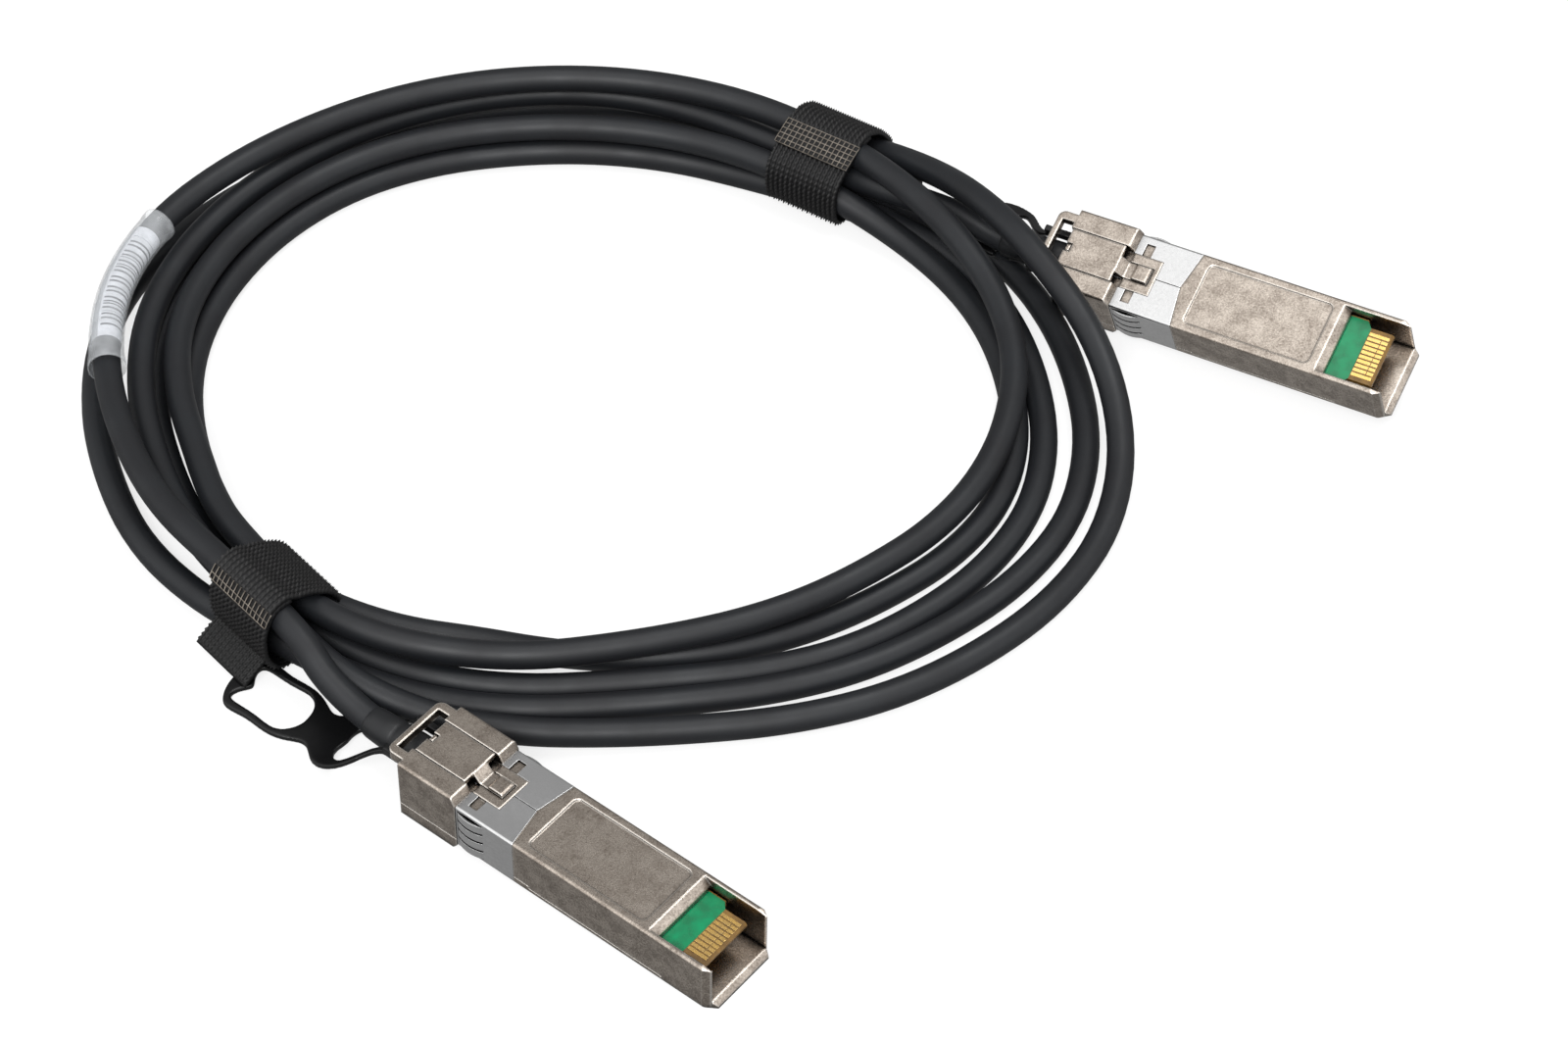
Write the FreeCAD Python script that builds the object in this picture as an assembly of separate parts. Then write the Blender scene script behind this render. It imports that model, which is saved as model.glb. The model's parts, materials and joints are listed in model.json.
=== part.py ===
"""Direct attach copper cable, coiled for packing.

Two die-cast pluggable ends are joined by a round twin-axial cable. The cable is coiled in five and a
half turns and tied with two hook-and-loop straps. Each end is built once in its own frame (x from the
tip back towards the cable, y to its left, z away from the seat) and then laid beside the coil.
Millimetres, +Z up. The origin is the middle of the floor area that the two ends stand in.
"""
import FreeCAD, Part
import math
import os
from FreeCAD import Placement, Rotation, Vector

# ---------------------------------------------------------------- plug housing
BODY_WIDTH = 13.5
BODY_HEIGHT = 8.5
BODY_CORNER = 0.4
WALL = 0.8
ROOF = 1.1
FLOOR = 1.2
TIP_CHAMFER = 1.3
TIP_CHAMFER_LENGTH = 2.0
HEAD_FRONT = 46.4
HEAD_SLOPE = 0.7
HEAD_REAR = 57.0
HEAD_WIDTH = BODY_WIDTH + 0.2
HEAD_TOP = 9.9
HEAD_BOTTOM = -0.9
HEAD_ROOF = 1.7
HEAD_WALL = 1.4
SEAM_FRONT = 9.0
SEAM_HEIGHT = 1.0
SEAM_STEP_X = 33.0
SEAM_STEP = 0.45
FIT = 0.05                      # gap of a piece that is placed or pressed by hand
RUNNING = 0.15                  # gap beside a piece that moves

# bay that the socket's contacts enter
BAY_REAR = 10.65
BAY_CHAMFER = 1.15
BAY_WALL = 1.35
LABEL_FRONT, LABEL_REAR = 13.2, 34.3
LABEL_WIDTH = 10.8
LABEL_DEPTH = 0.2
LABEL_CORNER = 1.0

# bridge behind the head that guards the pull tab's root
BRIDGE_LENGTH = 3.1
BRIDGE_WIDTH = BODY_WIDTH - 2.0
BRIDGE_THICKNESS = 1.6
WINDOW_FRONT = 0.2
WINDOW_LENGTH = 2.0
WINDOW_WIDTH = 8.7

# ---------------------------------------------------------------- circuit board
BOARD_FRONT = 3.2
BOARD_REAR = 45.0
BOARD_BOTTOM = BODY_HEIGHT - 3.25
BOARD_THICKNESS = 1.0
BOARD_WIDTH = BODY_WIDTH - 2 * WALL - 0.4
BOARD_NOSE_WIDTH = 9.2
BOARD_NOSE_LENGTH = 4.6
BOARD_BEVEL = 0.3
BOARD_LEDGE = 0.7
PAD_COUNT = 10
PAD_PITCH = 0.8
PAD_WIDTH = 0.56
PAD_LENGTH = 3.3
PAD_SPLIT = 1.1
PAD_THICKNESS = 0.08

# ---------------------------------------------------------------- spring-finger collar
COLLAR_FRONT = 35.9
COLLAR_APEX = 37.1
COLLAR_SHEET = 0.25
COLLAR_PAD_FRONT = 41.3
COLLAR_PAD_WIDTH = 6.3
COLLAR_WINDOW = (43.6, 45.1)
COLLAR_WINDOW_WIDTH = 2.2
FINGER_COUNT = 4
FINGER_FRONT, FINGER_REAR = 41.4, 46.1
FINGER_PITCH = 1.85
FINGER_HEIGHT = 1.45
FINGER_BULGE = 0.5

# ---------------------------------------------------------------- latch and its release
LATCH_WIDTH = 6.5
LATCH_FRONT = 47.6
LATCH_REAR = 56.8
LATCH_SHEET = 0.8
TONGUE_FRONT = 42.3
TONGUE_WIDTH = 2.8
BOSS_FRONT, BOSS_REAR = 42.4, 45.0
BOSS_WIDTH = 2.6
BOSS_HEIGHT = 0.45
PIVOT_X, PIVOT_Z = 51.0, 8.6
PIN_RADIUS = 0.5
KNUCKLE_RADIUS = 0.95
NOTCH_WIDTH, NOTCH_LENGTH = 1.5, 1.0
CAM_FRONT, CAM_REAR = 54.3, 56.6
CAM_HIGH, CAM_LOW = 8.35, 7.75
SWING_ROOM = 0.9                # room below the tongue for its downward swing
SPRING_LEDGE = (48.0, 49.9)
SPRING_LEDGE_TOP = 8.1
SPRING_WIDTH = 2.4
SPRING_SHEET = 0.18
SLIDER_BAR = (53.0, 54.2)
SLIDER_BAR_HEIGHT = (7.5, 8.1)
SLIDER_ARM_Y = (3.2, 3.8)
SLIDER_ARM_Z = (5.2, 6.3)
SLIDER_REAR = 60.6
SLIDER_POST = (56.0, 56.6)
SLIDER_POST_WIDTH = 1.1

# ---------------------------------------------------------------- cable entry
CABLE_RADIUS = 2.15
CABLE_AXIS_Z = 4.3
BOOT_FRONT = 54.0
BOOT_REAR = 68.5
BOOT_RADIUS = 2.75
BOOT_END_RADIUS = 2.4
BOOT_FLANGE_RADIUS = 3.05
FERRULE_FRONT = 50.0
FERRULE_RADIUS = 2.55
WIRE_RADIUS = 0.42
WIRE_SPREAD = 1.3

# ---------------------------------------------------------------- pull tab (heading frame of its plug)
TAB_ARM_Y = (2.95, 4.05)
TAB_ARM_Z = (4.95, 6.55)
TAB_ROOT = 57.4
TAB_NECK = 61.0
TAB_SHEET = 0.9
TAB_TRAVEL = 2.5
TAB_SWAY_LENGTH = 9.0
TAB_DRIFT_LENGTH = 20.0
TAB_LOOP_FRONT = 80.0
TAB_DRAW_LENGTH = 8.0
# distance from the tip and half width of the outline, then of its two openings
TAB_OUTLINE = [(61.0, 4.05), (64.0, 3.95), (67.0, 5.1), (70.5, 5.7), (73.4, 5.1), (76.3, 3.4),
               (78.9, 4.3), (82.0, 5.1), (87.0, 5.0), (91.0, 4.8), (92.1, 3.4), (93.0, 0.0)]
TAB_EYE = [(59.0, 0.0), (59.6, 2.5), (63.6, 2.8), (67.2, 3.6), (69.0, 4.0), (70.5, 3.2), (71.1, 1.6),
           (70.9, 0.0)]
TAB_FINGER_LOOP = [(79.0, 0.0), (79.6, 2.3), (81.3, 3.8), (84.2, 3.9), (88.4, 3.8), (90.8, 3.3),
                   (90.4, 1.4), (89.6, 0.0)]

# ---------------------------------------------------------------- coil and straps
COIL_CENTRE = Vector(-28.0, 18.0, 0.0)
LAYER = 4.0                     # height of one layer of passes, settled together
STRAP_SHEET = 1.2
STRAP_WIDTH = 15.2
STRAP_A_ANGLE = 57.1
STRAP_B_ANGLE = 221.1
# radius and height of the bundle's corners inside each strap
BUNDLE_A = [(58.6, 1.2), (74.2, 1.2), (75.0, 3.5), (75.0, 7.0), (70.4, 12.8), (65.4, 12.8), (58.0, 9.3)]
BUNDLE_B = [(54.6, 1.2), (63.9, 1.2), (67.7, 5.2), (68.0, 10.4), (66.2, 13.4), (62.0, 13.1), (54.4, 8.6)]
STRAP_B_TAIL = [(69.0, 5.0), (73.2, 1.4), (73.9, 2.3), (69.2, 6.6)]
STRAP_B_TAIL_SPAN = (-4.6, 7.4)
# angle about the coil's centre and radius of the lowest layer's two sides
COIL_INNER = [(57.5, 60.0), (95.0, 62.3), (130.0, 67.3), (160.0, 64.8), (190.0, 58.3), (218.0, 53.0),
              (248.0, 44.4), (280.0, 46.2), (315.0, 52.0), (345.0, 60.6), (372.0, 62.0), (395.0, 59.2)]
COIL_OUTER = [(57.5, 73.6), (95.0, 77.6), (130.0, 81.1), (160.0, 84.2), (190.0, 77.0), (218.0, 68.4),
              (232.0, 62.8), (248.0, 61.5), (280.0, 58.9), (315.0, 65.9), (345.0, 74.8), (372.0, 74.4), (395.0, 74.8)]
# the second layer lies on the left half only
SECOND_INNER = [(57.5, 58.6), (95.0, 62.9), (130.0, 68.3), (160.0, 67.3), (190.0, 59.4), (218.0, 55.3)]
SECOND_OUTER = [(57.5, 67.3), (95.0, 75.6), (130.0, 78.1), (160.0, 77.1), (190.0, 70.6), (218.0, 64.3)]
# free passes: angle, radius and height of the cable's axis
OVER_LEFT = [(213.0, 65.8, 11.3), (190.0, 71.9, 10.7), (160.0, 80.1, 10.9), (130.0, 76.8, 10.9),
             (95.0, 72.0, 10.9), (62.0, 68.0, 10.5)]
OVER_RIGHT = [(53.0, 66.6, 11.3), (46.0, 65.4, 11.7), (35.0, 64.5, 11.5), (12.0, 64.8, 8.0),
              (-15.0, 59.6, 6.4), (-45.0, 51.7, 6.4), (-80.0, 48.9, 6.4), (-112.0, 54.2, 6.4),
              (-137.0, 59.0, 7.6)]
OUTER_RIGHT = [(54.0, 72.3, 7.9), (47.0, 71.8, 9.1), (42.0, 71.2, 11.0), (35.0, 70.6, 13.6),
               (26.0, 71.3, 14.8), (19.0, 72.6, 14.2), (8.0, 77.2, 9.6), (-5.0, 79.9, 4.6), (-20.0, 79.2, 2.2),
               (-45.0, 71.8, 2.2), (-80.0, 62.4, 2.2), (-112.0, 64.8, 2.9), (-126.0, 65.0, 5.4),
               (-137.0, 63.4, 7.2)]
PASS_STEP = 13.0                # degrees between two points of a free pass
LEAD_A_ROUTE = [(-65.4, -38.9, 7.8), (-69.4, -33.5, 10.1)]
LEAD_B_ROUTE = [(28.8, 59.3, 7.9), (22.3, 63.8, 7.3)]
SLEEVE_RADIUS = 2.6
SLEEVE_RUNS = (6, 11)           # pieces of the left pass's path that the sleeve and its label cover
LABEL_RUNS = (7, 10)
LABEL_SHEET = 0.1


class Plug:
    """Where one plug lies and how its soft tab hangs."""

    def __init__(self, name, tip, yaw, pitch, roll, tab_roll, tab_sway, tab_heights, tab_shortening):
        self.name = name
        self.placement = Placement(Vector(*tip), Rotation(yaw, pitch, roll))
        self.heading = Placement(Vector(tip[0], tip[1], 0.0), Rotation(yaw, 0.0, tab_roll))
        self.tab_sway = tab_sway
        self.tab_heights = tab_heights
        self.tab_shortening = tab_shortening

    def point(self, x, y, z):
        """Place in the coil's frame of a point of the plug's own frame."""
        return self.placement.multVec(Vector(x, y, z))


# roll of the tab, sideways drift of its root, eye and finger loop, its heights above the floor, and
# how much the finger loop is drawn in
PLUGS = [
    Plug("a", (-5.5, -87.25, 0.0), 141.5, -1.1, 0.0, 0.0, (0.0, 3.0, 3.0),
         [(61.0, 6.9), (64.0, 5.9), (66.5, 4.1), (69.0, 2.5), (72.0, 1.25), (76.0, 0.6), (80.0, 0.5),
          (84.0, 0.5), (89.0, 0.5), (94.0, 0.5)], 0.0),
    Plug("b", (95.9, 22.85, 6.1), 150.8, 2.7, -21.8, -4.0, (2.1, -2.3, -5.6),
         [(61.0, 9.1), (64.0, 7.9), (67.0, 6.2), (69.5, 5.2), (72.0, 4.85), (76.0, 4.7), (80.0, 4.7),
          (84.0, 4.7), (89.0, 4.7), (94.0, 4.7)], 2.5),
]


# ---------------------------------------------------------------- small shape helpers
def block(x_span, y_span, z_span):
    """Box between two limits on each axis."""
    size = [high - low for low, high in (x_span, y_span, z_span)]
    return Part.makeBox(*size, Vector(x_span[0], y_span[0], z_span[0]))


def centred_block(x_span, width, z_span):
    """Box that is symmetric about the plug's middle plane."""
    return block(x_span, (-width / 2, width / 2), z_span)


def side_profile(points, width, middle=0.0):
    """Prism of an x-z outline, symmetric about the plane y = middle."""
    corners = [Vector(x, middle - width / 2, z) for x, z in points]
    face = Part.Face(Part.makePolygon(corners + corners[:1]))
    return face.extrude(Vector(0, width, 0))


def plan_profile(points, z_span):
    """Prism of an x-y outline."""
    corners = [Vector(x, y, z_span[0]) for x, y in points]
    face = Part.Face(Part.makePolygon(corners + corners[:1]))
    return face.extrude(Vector(0, 0, z_span[1] - z_span[0]))


def rounded_bar(x_span, width, z_span, radius):
    """Bar along x with a rounded rectangular section."""
    bar = centred_block(x_span, width, z_span)
    long_edges = [e for e in bar.Edges if abs(e.tangentAt(e.FirstParameter).x) > 0.99]
    return bar.makeFillet(radius, long_edges)


def cross_pin(x, z, radius, width):
    """Cylinder along y, centred on the plug's middle plane."""
    return Part.makeCylinder(radius, width, Vector(x, -width / 2, z), Vector(0, 1, 0))


def mirrored(shape):
    """The shape's mirror image across the plug's middle plane."""
    return shape.mirror(Vector(0, 0, 0), Vector(0, 1, 0))


def both_sides(shape):
    """The shape and its mirror image, fused."""
    return shape.fuse(mirrored(shape))


# ---------------------------------------------------------------- plug pieces
def housing_outline():
    """Plan outline of the body with its two chamfered tip corners."""
    half = BODY_WIDTH / 2
    inner = half - TIP_CHAMFER
    return [(0, -inner), (TIP_CHAMFER_LENGTH, -half), (HEAD_REAR, -half),
            (HEAD_REAR, half), (TIP_CHAMFER_LENGTH, half), (0, inner)]


def body_bar():
    """Outside of the slim front body, ahead of the head."""
    bar = rounded_bar((0, HEAD_FRONT + 1), BODY_WIDTH, (0, BODY_HEIGHT), BODY_CORNER)
    return bar.common(plan_profile(housing_outline(), (-1, BODY_HEIGHT + 1)))


def head_block():
    """Outside of the taller head with its sloped front."""
    slope_top = HEAD_FRONT + HEAD_SLOPE
    profile = [(HEAD_FRONT, 0), (HEAD_FRONT, BODY_HEIGHT), (slope_top, HEAD_TOP), (HEAD_REAR, HEAD_TOP),
               (HEAD_REAR, HEAD_BOTTOM), (slope_top, HEAD_BOTTOM)]
    head = side_profile(profile, HEAD_WIDTH)
    long_edges = [e for e in head.Edges if abs(e.tangentAt(e.FirstParameter).x) > 0.99
                  and abs(e.CenterOfMass.z - BODY_HEIGHT) < 3 and e.CenterOfMass.z > BODY_HEIGHT]
    return head.makeFillet(BODY_CORNER, long_edges)


def collar_zone(gap):
    """Room for the collar: all that lies outside its inner faces, behind its pointed front edge."""
    outline = [(COLLAR_FRONT - gap, -BODY_WIDTH), (COLLAR_FRONT - gap, -BODY_WIDTH / 2), (COLLAR_APEX - gap, 0),
               (COLLAR_FRONT - gap, BODY_WIDTH / 2), (COLLAR_FRONT - gap, BODY_WIDTH),
               (HEAD_FRONT, BODY_WIDTH), (HEAD_FRONT, -BODY_WIDTH)]
    depth = COLLAR_SHEET + gap
    core = rounded_bar((COLLAR_FRONT - 2, HEAD_FRONT + 1), BODY_WIDTH - 2 * depth,
                       (depth, BODY_HEIGHT - depth), BODY_CORNER / 2)
    return plan_profile(outline, (-1, BODY_HEIGHT + 1)).cut(core)


def seam_strip():
    """Room along the lower sides where the base shows below the cover."""
    low = centred_block((SEAM_FRONT, HEAD_REAR), HEAD_WIDTH + 1, (HEAD_BOTTOM - 1, SEAM_HEIGHT))
    step = centred_block((SEAM_STEP_X, HEAD_REAR), HEAD_WIDTH + 1, (SEAM_HEIGHT, SEAM_HEIGHT + SEAM_STEP))
    return low.fuse(step)


def boot_hole(radius):
    """Cylinder along the cable's axis through the head's rear wall."""
    start = Vector(HEAD_REAR - HEAD_WALL - 0.5, 0, CABLE_AXIS_Z)
    return Part.makeCylinder(radius, HEAD_WALL + 1.5, start, Vector(1, 0, 0))


def cavity():
    """Inside of the housing, from the open bay to the head's rear wall."""
    inside = BODY_WIDTH - 2 * WALL
    front_low = centred_block((-1, BAY_REAR + BAY_WALL), inside, (-2, BOARD_BOTTOM + BOARD_THICKNESS + 0.2))
    bay = centred_block((-1, BAY_REAR), inside, (2, BODY_HEIGHT + 2))
    middle = centred_block((BAY_REAR + BAY_WALL, HEAD_FRONT + 3.5), inside, (-2, BODY_HEIGHT - ROOF))
    head = centred_block((HEAD_FRONT + 3.5, HEAD_REAR - HEAD_WALL), inside, (-2, HEAD_TOP - HEAD_ROOF))
    return front_low.fuse([bay, middle, head])


def latch_room():
    """Pocket and slots in the cover that let the latch swing and the slider run."""
    side = RUNNING
    pocket = centred_block((HEAD_FRONT - 0.2, HEAD_REAR + 0.3), LATCH_WIDTH + 2 * side,
                           (SPRING_LEDGE_TOP, HEAD_TOP + 1))
    well = centred_block((SPRING_LEDGE[1], HEAD_REAR), LATCH_WIDTH + 2 * side,
                         (SLIDER_BAR_HEIGHT[0] - side, HEAD_TOP))
    tongue_slot = centred_block((TONGUE_FRONT - side, SPRING_LEDGE[0]), TONGUE_WIDTH + 2 * side,
                                (BODY_HEIGHT - 0.7 - SWING_ROOM, HEAD_TOP + 1))
    arm_slot = block((HEAD_REAR - HEAD_WALL - 1, HEAD_REAR + 1),
                     (SLIDER_ARM_Y[0] - side, SLIDER_ARM_Y[1] + side),
                     (SLIDER_ARM_Z[0] - side, SLIDER_BAR_HEIGHT[1] + side))
    pin_hole = cross_pin(PIVOT_X, PIVOT_Z, PIN_RADIUS, LATCH_WIDTH + 4)
    return pocket.fuse([well, tongue_slot, both_sides(arm_slot), pin_hole])


def bridge():
    """Guard bar behind the head, with the window that the slider's post shows in."""
    frame = centred_block((HEAD_REAR - 0.5, HEAD_REAR + BRIDGE_LENGTH), BRIDGE_WIDTH,
                          (HEAD_TOP - BRIDGE_THICKNESS, HEAD_TOP))
    rear_corners = [e for e in frame.Edges if abs(e.tangentAt(e.FirstParameter).z) > 0.99
                    and e.CenterOfMass.x > HEAD_REAR]
    frame = frame.makeFillet(1.2, rear_corners)
    window_front = HEAD_REAR + WINDOW_FRONT
    window = centred_block((window_front, window_front + WINDOW_LENGTH), WINDOW_WIDTH,
                           (HEAD_TOP - BRIDGE_THICKNESS - 1, HEAD_TOP + 1))
    return frame.cut(window)


def cover_shell():
    """Upper die-cast shell: roof, tall side walls, head and bridge."""
    shell = body_bar().fuse(head_block()).cut(cavity())
    bay_chamfer = side_profile([(BAY_REAR - 0.1, BODY_HEIGHT - BAY_CHAMFER), (BAY_REAR, BODY_HEIGHT - BAY_CHAMFER),
                                (BAY_REAR + BAY_CHAMFER, BODY_HEIGHT), (BAY_REAR - 0.1, BODY_HEIGHT + 0.1)],
                               BODY_WIDTH - 2 * WALL)
    tip_slope = side_profile([(2.4, BODY_HEIGHT), (0.6, BODY_HEIGHT - 0.3), (-0.1, BODY_HEIGHT - 0.5),
                              (-0.1, BODY_HEIGHT + 1), (2.4, BODY_HEIGHT + 1)], BODY_WIDTH + 1)
    label = centred_block((LABEL_FRONT, LABEL_REAR), LABEL_WIDTH, (BODY_HEIGHT - LABEL_DEPTH, BODY_HEIGHT + 1))
    upright = [e for e in label.Edges if abs(e.tangentAt(e.FirstParameter).z) > 0.99]
    label = label.makeFillet(LABEL_CORNER, upright)
    pad = centred_block((COLLAR_PAD_FRONT, HEAD_FRONT + 0.5), COLLAR_PAD_WIDTH, (BODY_HEIGHT - ROOF, BODY_HEIGHT))
    rear_gap = centred_block((HEAD_REAR - HEAD_WALL - FIT, HEAD_REAR + 1), BODY_WIDTH - 2 * WALL,
                             (-2, CABLE_AXIS_Z))
    shell = shell.cut([bay_chamfer, tip_slope, label, collar_zone(FIT), seam_strip(), rear_gap])
    shell = shell.fuse(pad).fuse(bridge())
    return shell.cut([boot_hole(BOOT_RADIUS + FIT), latch_room()]).removeSplitter()


def base_shell():
    """Lower die-cast shell: floor plate, side rims, board ledges and the lower half of the rear wall."""
    inside = BODY_WIDTH - 2 * WALL - 2 * FIT
    plate = centred_block((0, HEAD_REAR), inside, (0, FLOOR))
    rim = body_bar().fuse(head_block()).common(seam_strip())
    rim = rim.common(centred_block((SEAM_FRONT + FIT, HEAD_REAR), HEAD_WIDTH + 1, (-2, SEAM_HEIGHT + SEAM_STEP - FIT)))
    slot_low = centred_block((SEAM_FRONT - 1, SEAM_STEP_X + FIT), HEAD_WIDTH + 1, (SEAM_HEIGHT - FIT, 3))
    hollow = centred_block((SEAM_FRONT - 1, HEAD_REAR - HEAD_WALL), inside - 2 * WALL, (FLOOR, BODY_HEIGHT))
    rim = rim.cut([slot_low, hollow])
    ledge_y = (BOARD_WIDTH / 2 - BOARD_LEDGE, BOARD_WIDTH / 2)
    ledge = block((BAY_REAR, HEAD_FRONT - 2), ledge_y, (FLOOR / 2, BOARD_BOTTOM))
    rear_wall = centred_block((HEAD_REAR - HEAD_WALL, HEAD_REAR), inside, (0, CABLE_AXIS_Z - FIT))
    lip = side_profile([(0, 0), (0, 0.35), (0.85, FLOOR), (2, FLOOR), (2, 0)], inside + 2 * WALL - 2 * TIP_CHAMFER)
    nose_bevel = side_profile([(-0.1, 0.35), (0.85, FLOOR + 0.01), (-0.1, FLOOR + 0.01)], inside + 1)
    base = plate.cut(nose_bevel).fuse([rim, both_sides(ledge), rear_wall, lip])
    base = base.common(plan_profile(housing_outline(), (-1, BODY_HEIGHT)).fuse(
        centred_block((HEAD_FRONT, HEAD_REAR), HEAD_WIDTH, (HEAD_BOTTOM, BODY_HEIGHT))))
    return base.cut([collar_zone(FIT), boot_hole(BOOT_RADIUS + FIT)]).removeSplitter()


def spring_finger(z_low):
    """One bowed finger on the collar's left side, from z_low upwards."""
    half = BODY_WIDTH / 2
    middle = (FINGER_FRONT + FINGER_REAR) / 2
    outer = [Vector(FINGER_FRONT, half, z_low), Vector(middle, half + FINGER_BULGE, z_low),
             Vector(FINGER_REAR, half, z_low)]
    inner = [point - Vector(0, COLLAR_SHEET, 0) for point in outer]
    edges = [Part.Arc(*outer).toShape(), Part.LineSegment(outer[2], inner[2]).toShape(),
             Part.Arc(*reversed(inner)).toShape(), Part.LineSegment(inner[0], outer[0]).toShape()]
    return Part.Face(Part.Wire(edges)).extrude(Vector(0, 0, FINGER_HEIGHT))


def emi_collar():
    """Folded spring-steel collar round the body, with windows on top and bowed fingers at the sides."""
    skin = rounded_bar((COLLAR_FRONT - 1, HEAD_FRONT), BODY_WIDTH, (0, BODY_HEIGHT), BODY_CORNER)
    collar = skin.common(collar_zone(0.0))
    pad = centred_block((COLLAR_PAD_FRONT - FIT, HEAD_FRONT + 1), COLLAR_PAD_WIDTH + 2 * FIT,
                        (BODY_HEIGHT - 1, BODY_HEIGHT + 1))
    seam = centred_block((COLLAR_APEX - 1, COLLAR_PAD_FRONT), 0.12, (BODY_HEIGHT - 1, BODY_HEIGHT + 1))
    window = block(COLLAR_WINDOW, (COLLAR_PAD_WIDTH / 2, COLLAR_PAD_WIDTH / 2 + COLLAR_WINDOW_WIDTH),
                   (BODY_HEIGHT - 1, BODY_HEIGHT + 1))
    first = (BODY_HEIGHT - FINGER_PITCH * (FINGER_COUNT - 1) - FINGER_HEIGHT) / 2
    side_opening = block((FINGER_FRONT, FINGER_REAR), (BODY_WIDTH / 2 - 0.5, BODY_WIDTH),
                         (first - 0.2, BODY_HEIGHT - first + 0.2))
    collar = collar.cut([pad, seam, both_sides(window), both_sides(side_opening)])
    fingers = [spring_finger(first + k * FINGER_PITCH) for k in range(FINGER_COUNT)]
    fingers += [mirrored(finger) for finger in fingers]
    return collar.fuse(fingers)


def latch():
    """Rocker: top plate, bent front arm with its tongue and boss, knuckle and lifting cam."""
    plate = centred_block((LATCH_FRONT, LATCH_REAR), LATCH_WIDTH, (HEAD_TOP - LATCH_SHEET, HEAD_TOP))
    notch = centred_block((LATCH_REAR - NOTCH_LENGTH, LATCH_REAR + 1), NOTCH_WIDTH, (0, HEAD_TOP + 1))
    tongue_low = BODY_HEIGHT - 0.7
    arm = side_profile([(LATCH_FRONT, HEAD_TOP), (HEAD_FRONT - 0.05, BODY_HEIGHT), (TONGUE_FRONT, BODY_HEIGHT),
                        (TONGUE_FRONT, tongue_low), (HEAD_FRONT + 0.2, tongue_low),
                        (LATCH_FRONT + 0.3, HEAD_TOP - LATCH_SHEET), (LATCH_FRONT + 0.3, HEAD_TOP)], TONGUE_WIDTH)
    boss = centred_block((BOSS_FRONT, BOSS_REAR), BOSS_WIDTH, (BODY_HEIGHT - 0.2, BODY_HEIGHT + BOSS_HEIGHT))
    boss_ends = [e for e in boss.Edges if abs(e.tangentAt(e.FirstParameter).y) > 0.99
                 and e.CenterOfMass.z > BODY_HEIGHT]
    boss = boss.makeFillet(0.3, boss_ends)
    knuckle = cross_pin(PIVOT_X, PIVOT_Z, KNUCKLE_RADIUS, LATCH_WIDTH)
    knuckle = knuckle.common(centred_block((PIVOT_X - 2, PIVOT_X + 2), LATCH_WIDTH, (0, HEAD_TOP - 0.1)))
    plate_low = HEAD_TOP - LATCH_SHEET
    cam = side_profile([(CAM_FRONT, plate_low + 0.1), (CAM_FRONT, CAM_HIGH), (CAM_REAR, CAM_LOW),
                        (CAM_REAR, plate_low + 0.1)], LATCH_WIDTH - 1.6)
    rocker = plate.fuse([arm, boss, knuckle, cam])
    bore = cross_pin(PIVOT_X, PIVOT_Z, PIN_RADIUS + FIT, LATCH_WIDTH + 1)
    return rocker.cut([notch, bore]).removeSplitter()


def latch_pin():
    """Pin that the rocker swings on, pressed into the head's two cheeks."""
    return cross_pin(PIVOT_X, PIVOT_Z, PIN_RADIUS, LATCH_WIDTH + 4)


def latch_spring():
    """Arched leaf between the cover's ledge and the rocker's front arm."""
    front, rear = SPRING_LEDGE[0] + 0.1, SPRING_LEDGE[1] - 0.1
    middle = (front + rear) / 2
    low, high = SPRING_LEDGE_TOP, HEAD_TOP - LATCH_SHEET - FIT
    outer = Part.Arc(Vector(front, 0, low), Vector(middle, 0, high), Vector(rear, 0, low)).toShape()
    inner = Part.Arc(Vector(rear - SPRING_SHEET, 0, low), Vector(middle, 0, high - SPRING_SHEET),
                     Vector(front + SPRING_SHEET, 0, low)).toShape()
    feet = [Part.LineSegment(Vector(rear, 0, low), Vector(rear - SPRING_SHEET, 0, low)).toShape(),
            Part.LineSegment(Vector(front + SPRING_SHEET, 0, low), Vector(front, 0, low)).toShape()]
    face = Part.Face(Part.Wire([outer, feet[0], inner, feet[1]]))
    leaf = face.extrude(Vector(0, SPRING_WIDTH, 0))
    leaf.translate(Vector(0, -SPRING_WIDTH / 2, 0))
    return leaf


def release_slider():
    """Bent yoke: two arms beside the cable, a cross bar below the cam and a post in the notch."""
    bar = centred_block(SLIDER_BAR, 2 * SLIDER_ARM_Y[1], SLIDER_BAR_HEIGHT)
    upright = block(SLIDER_BAR, SLIDER_ARM_Y, (SLIDER_ARM_Z[0], SLIDER_BAR_HEIGHT[1]))
    arm = block((SLIDER_BAR[0], SLIDER_REAR), SLIDER_ARM_Y, SLIDER_ARM_Z)
    tail_width = SLIDER_POST_WIDTH
    tail = centred_block((SLIDER_BAR[0], SLIDER_POST[1]), tail_width, (SLIDER_BAR_HEIGHT[0], CAM_LOW - 0.1))
    post = centred_block(SLIDER_POST, tail_width, (SLIDER_BAR_HEIGHT[0], HEAD_TOP - 0.2))
    return bar.fuse([both_sides(upright), both_sides(arm), tail, post]).removeSplitter()


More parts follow.
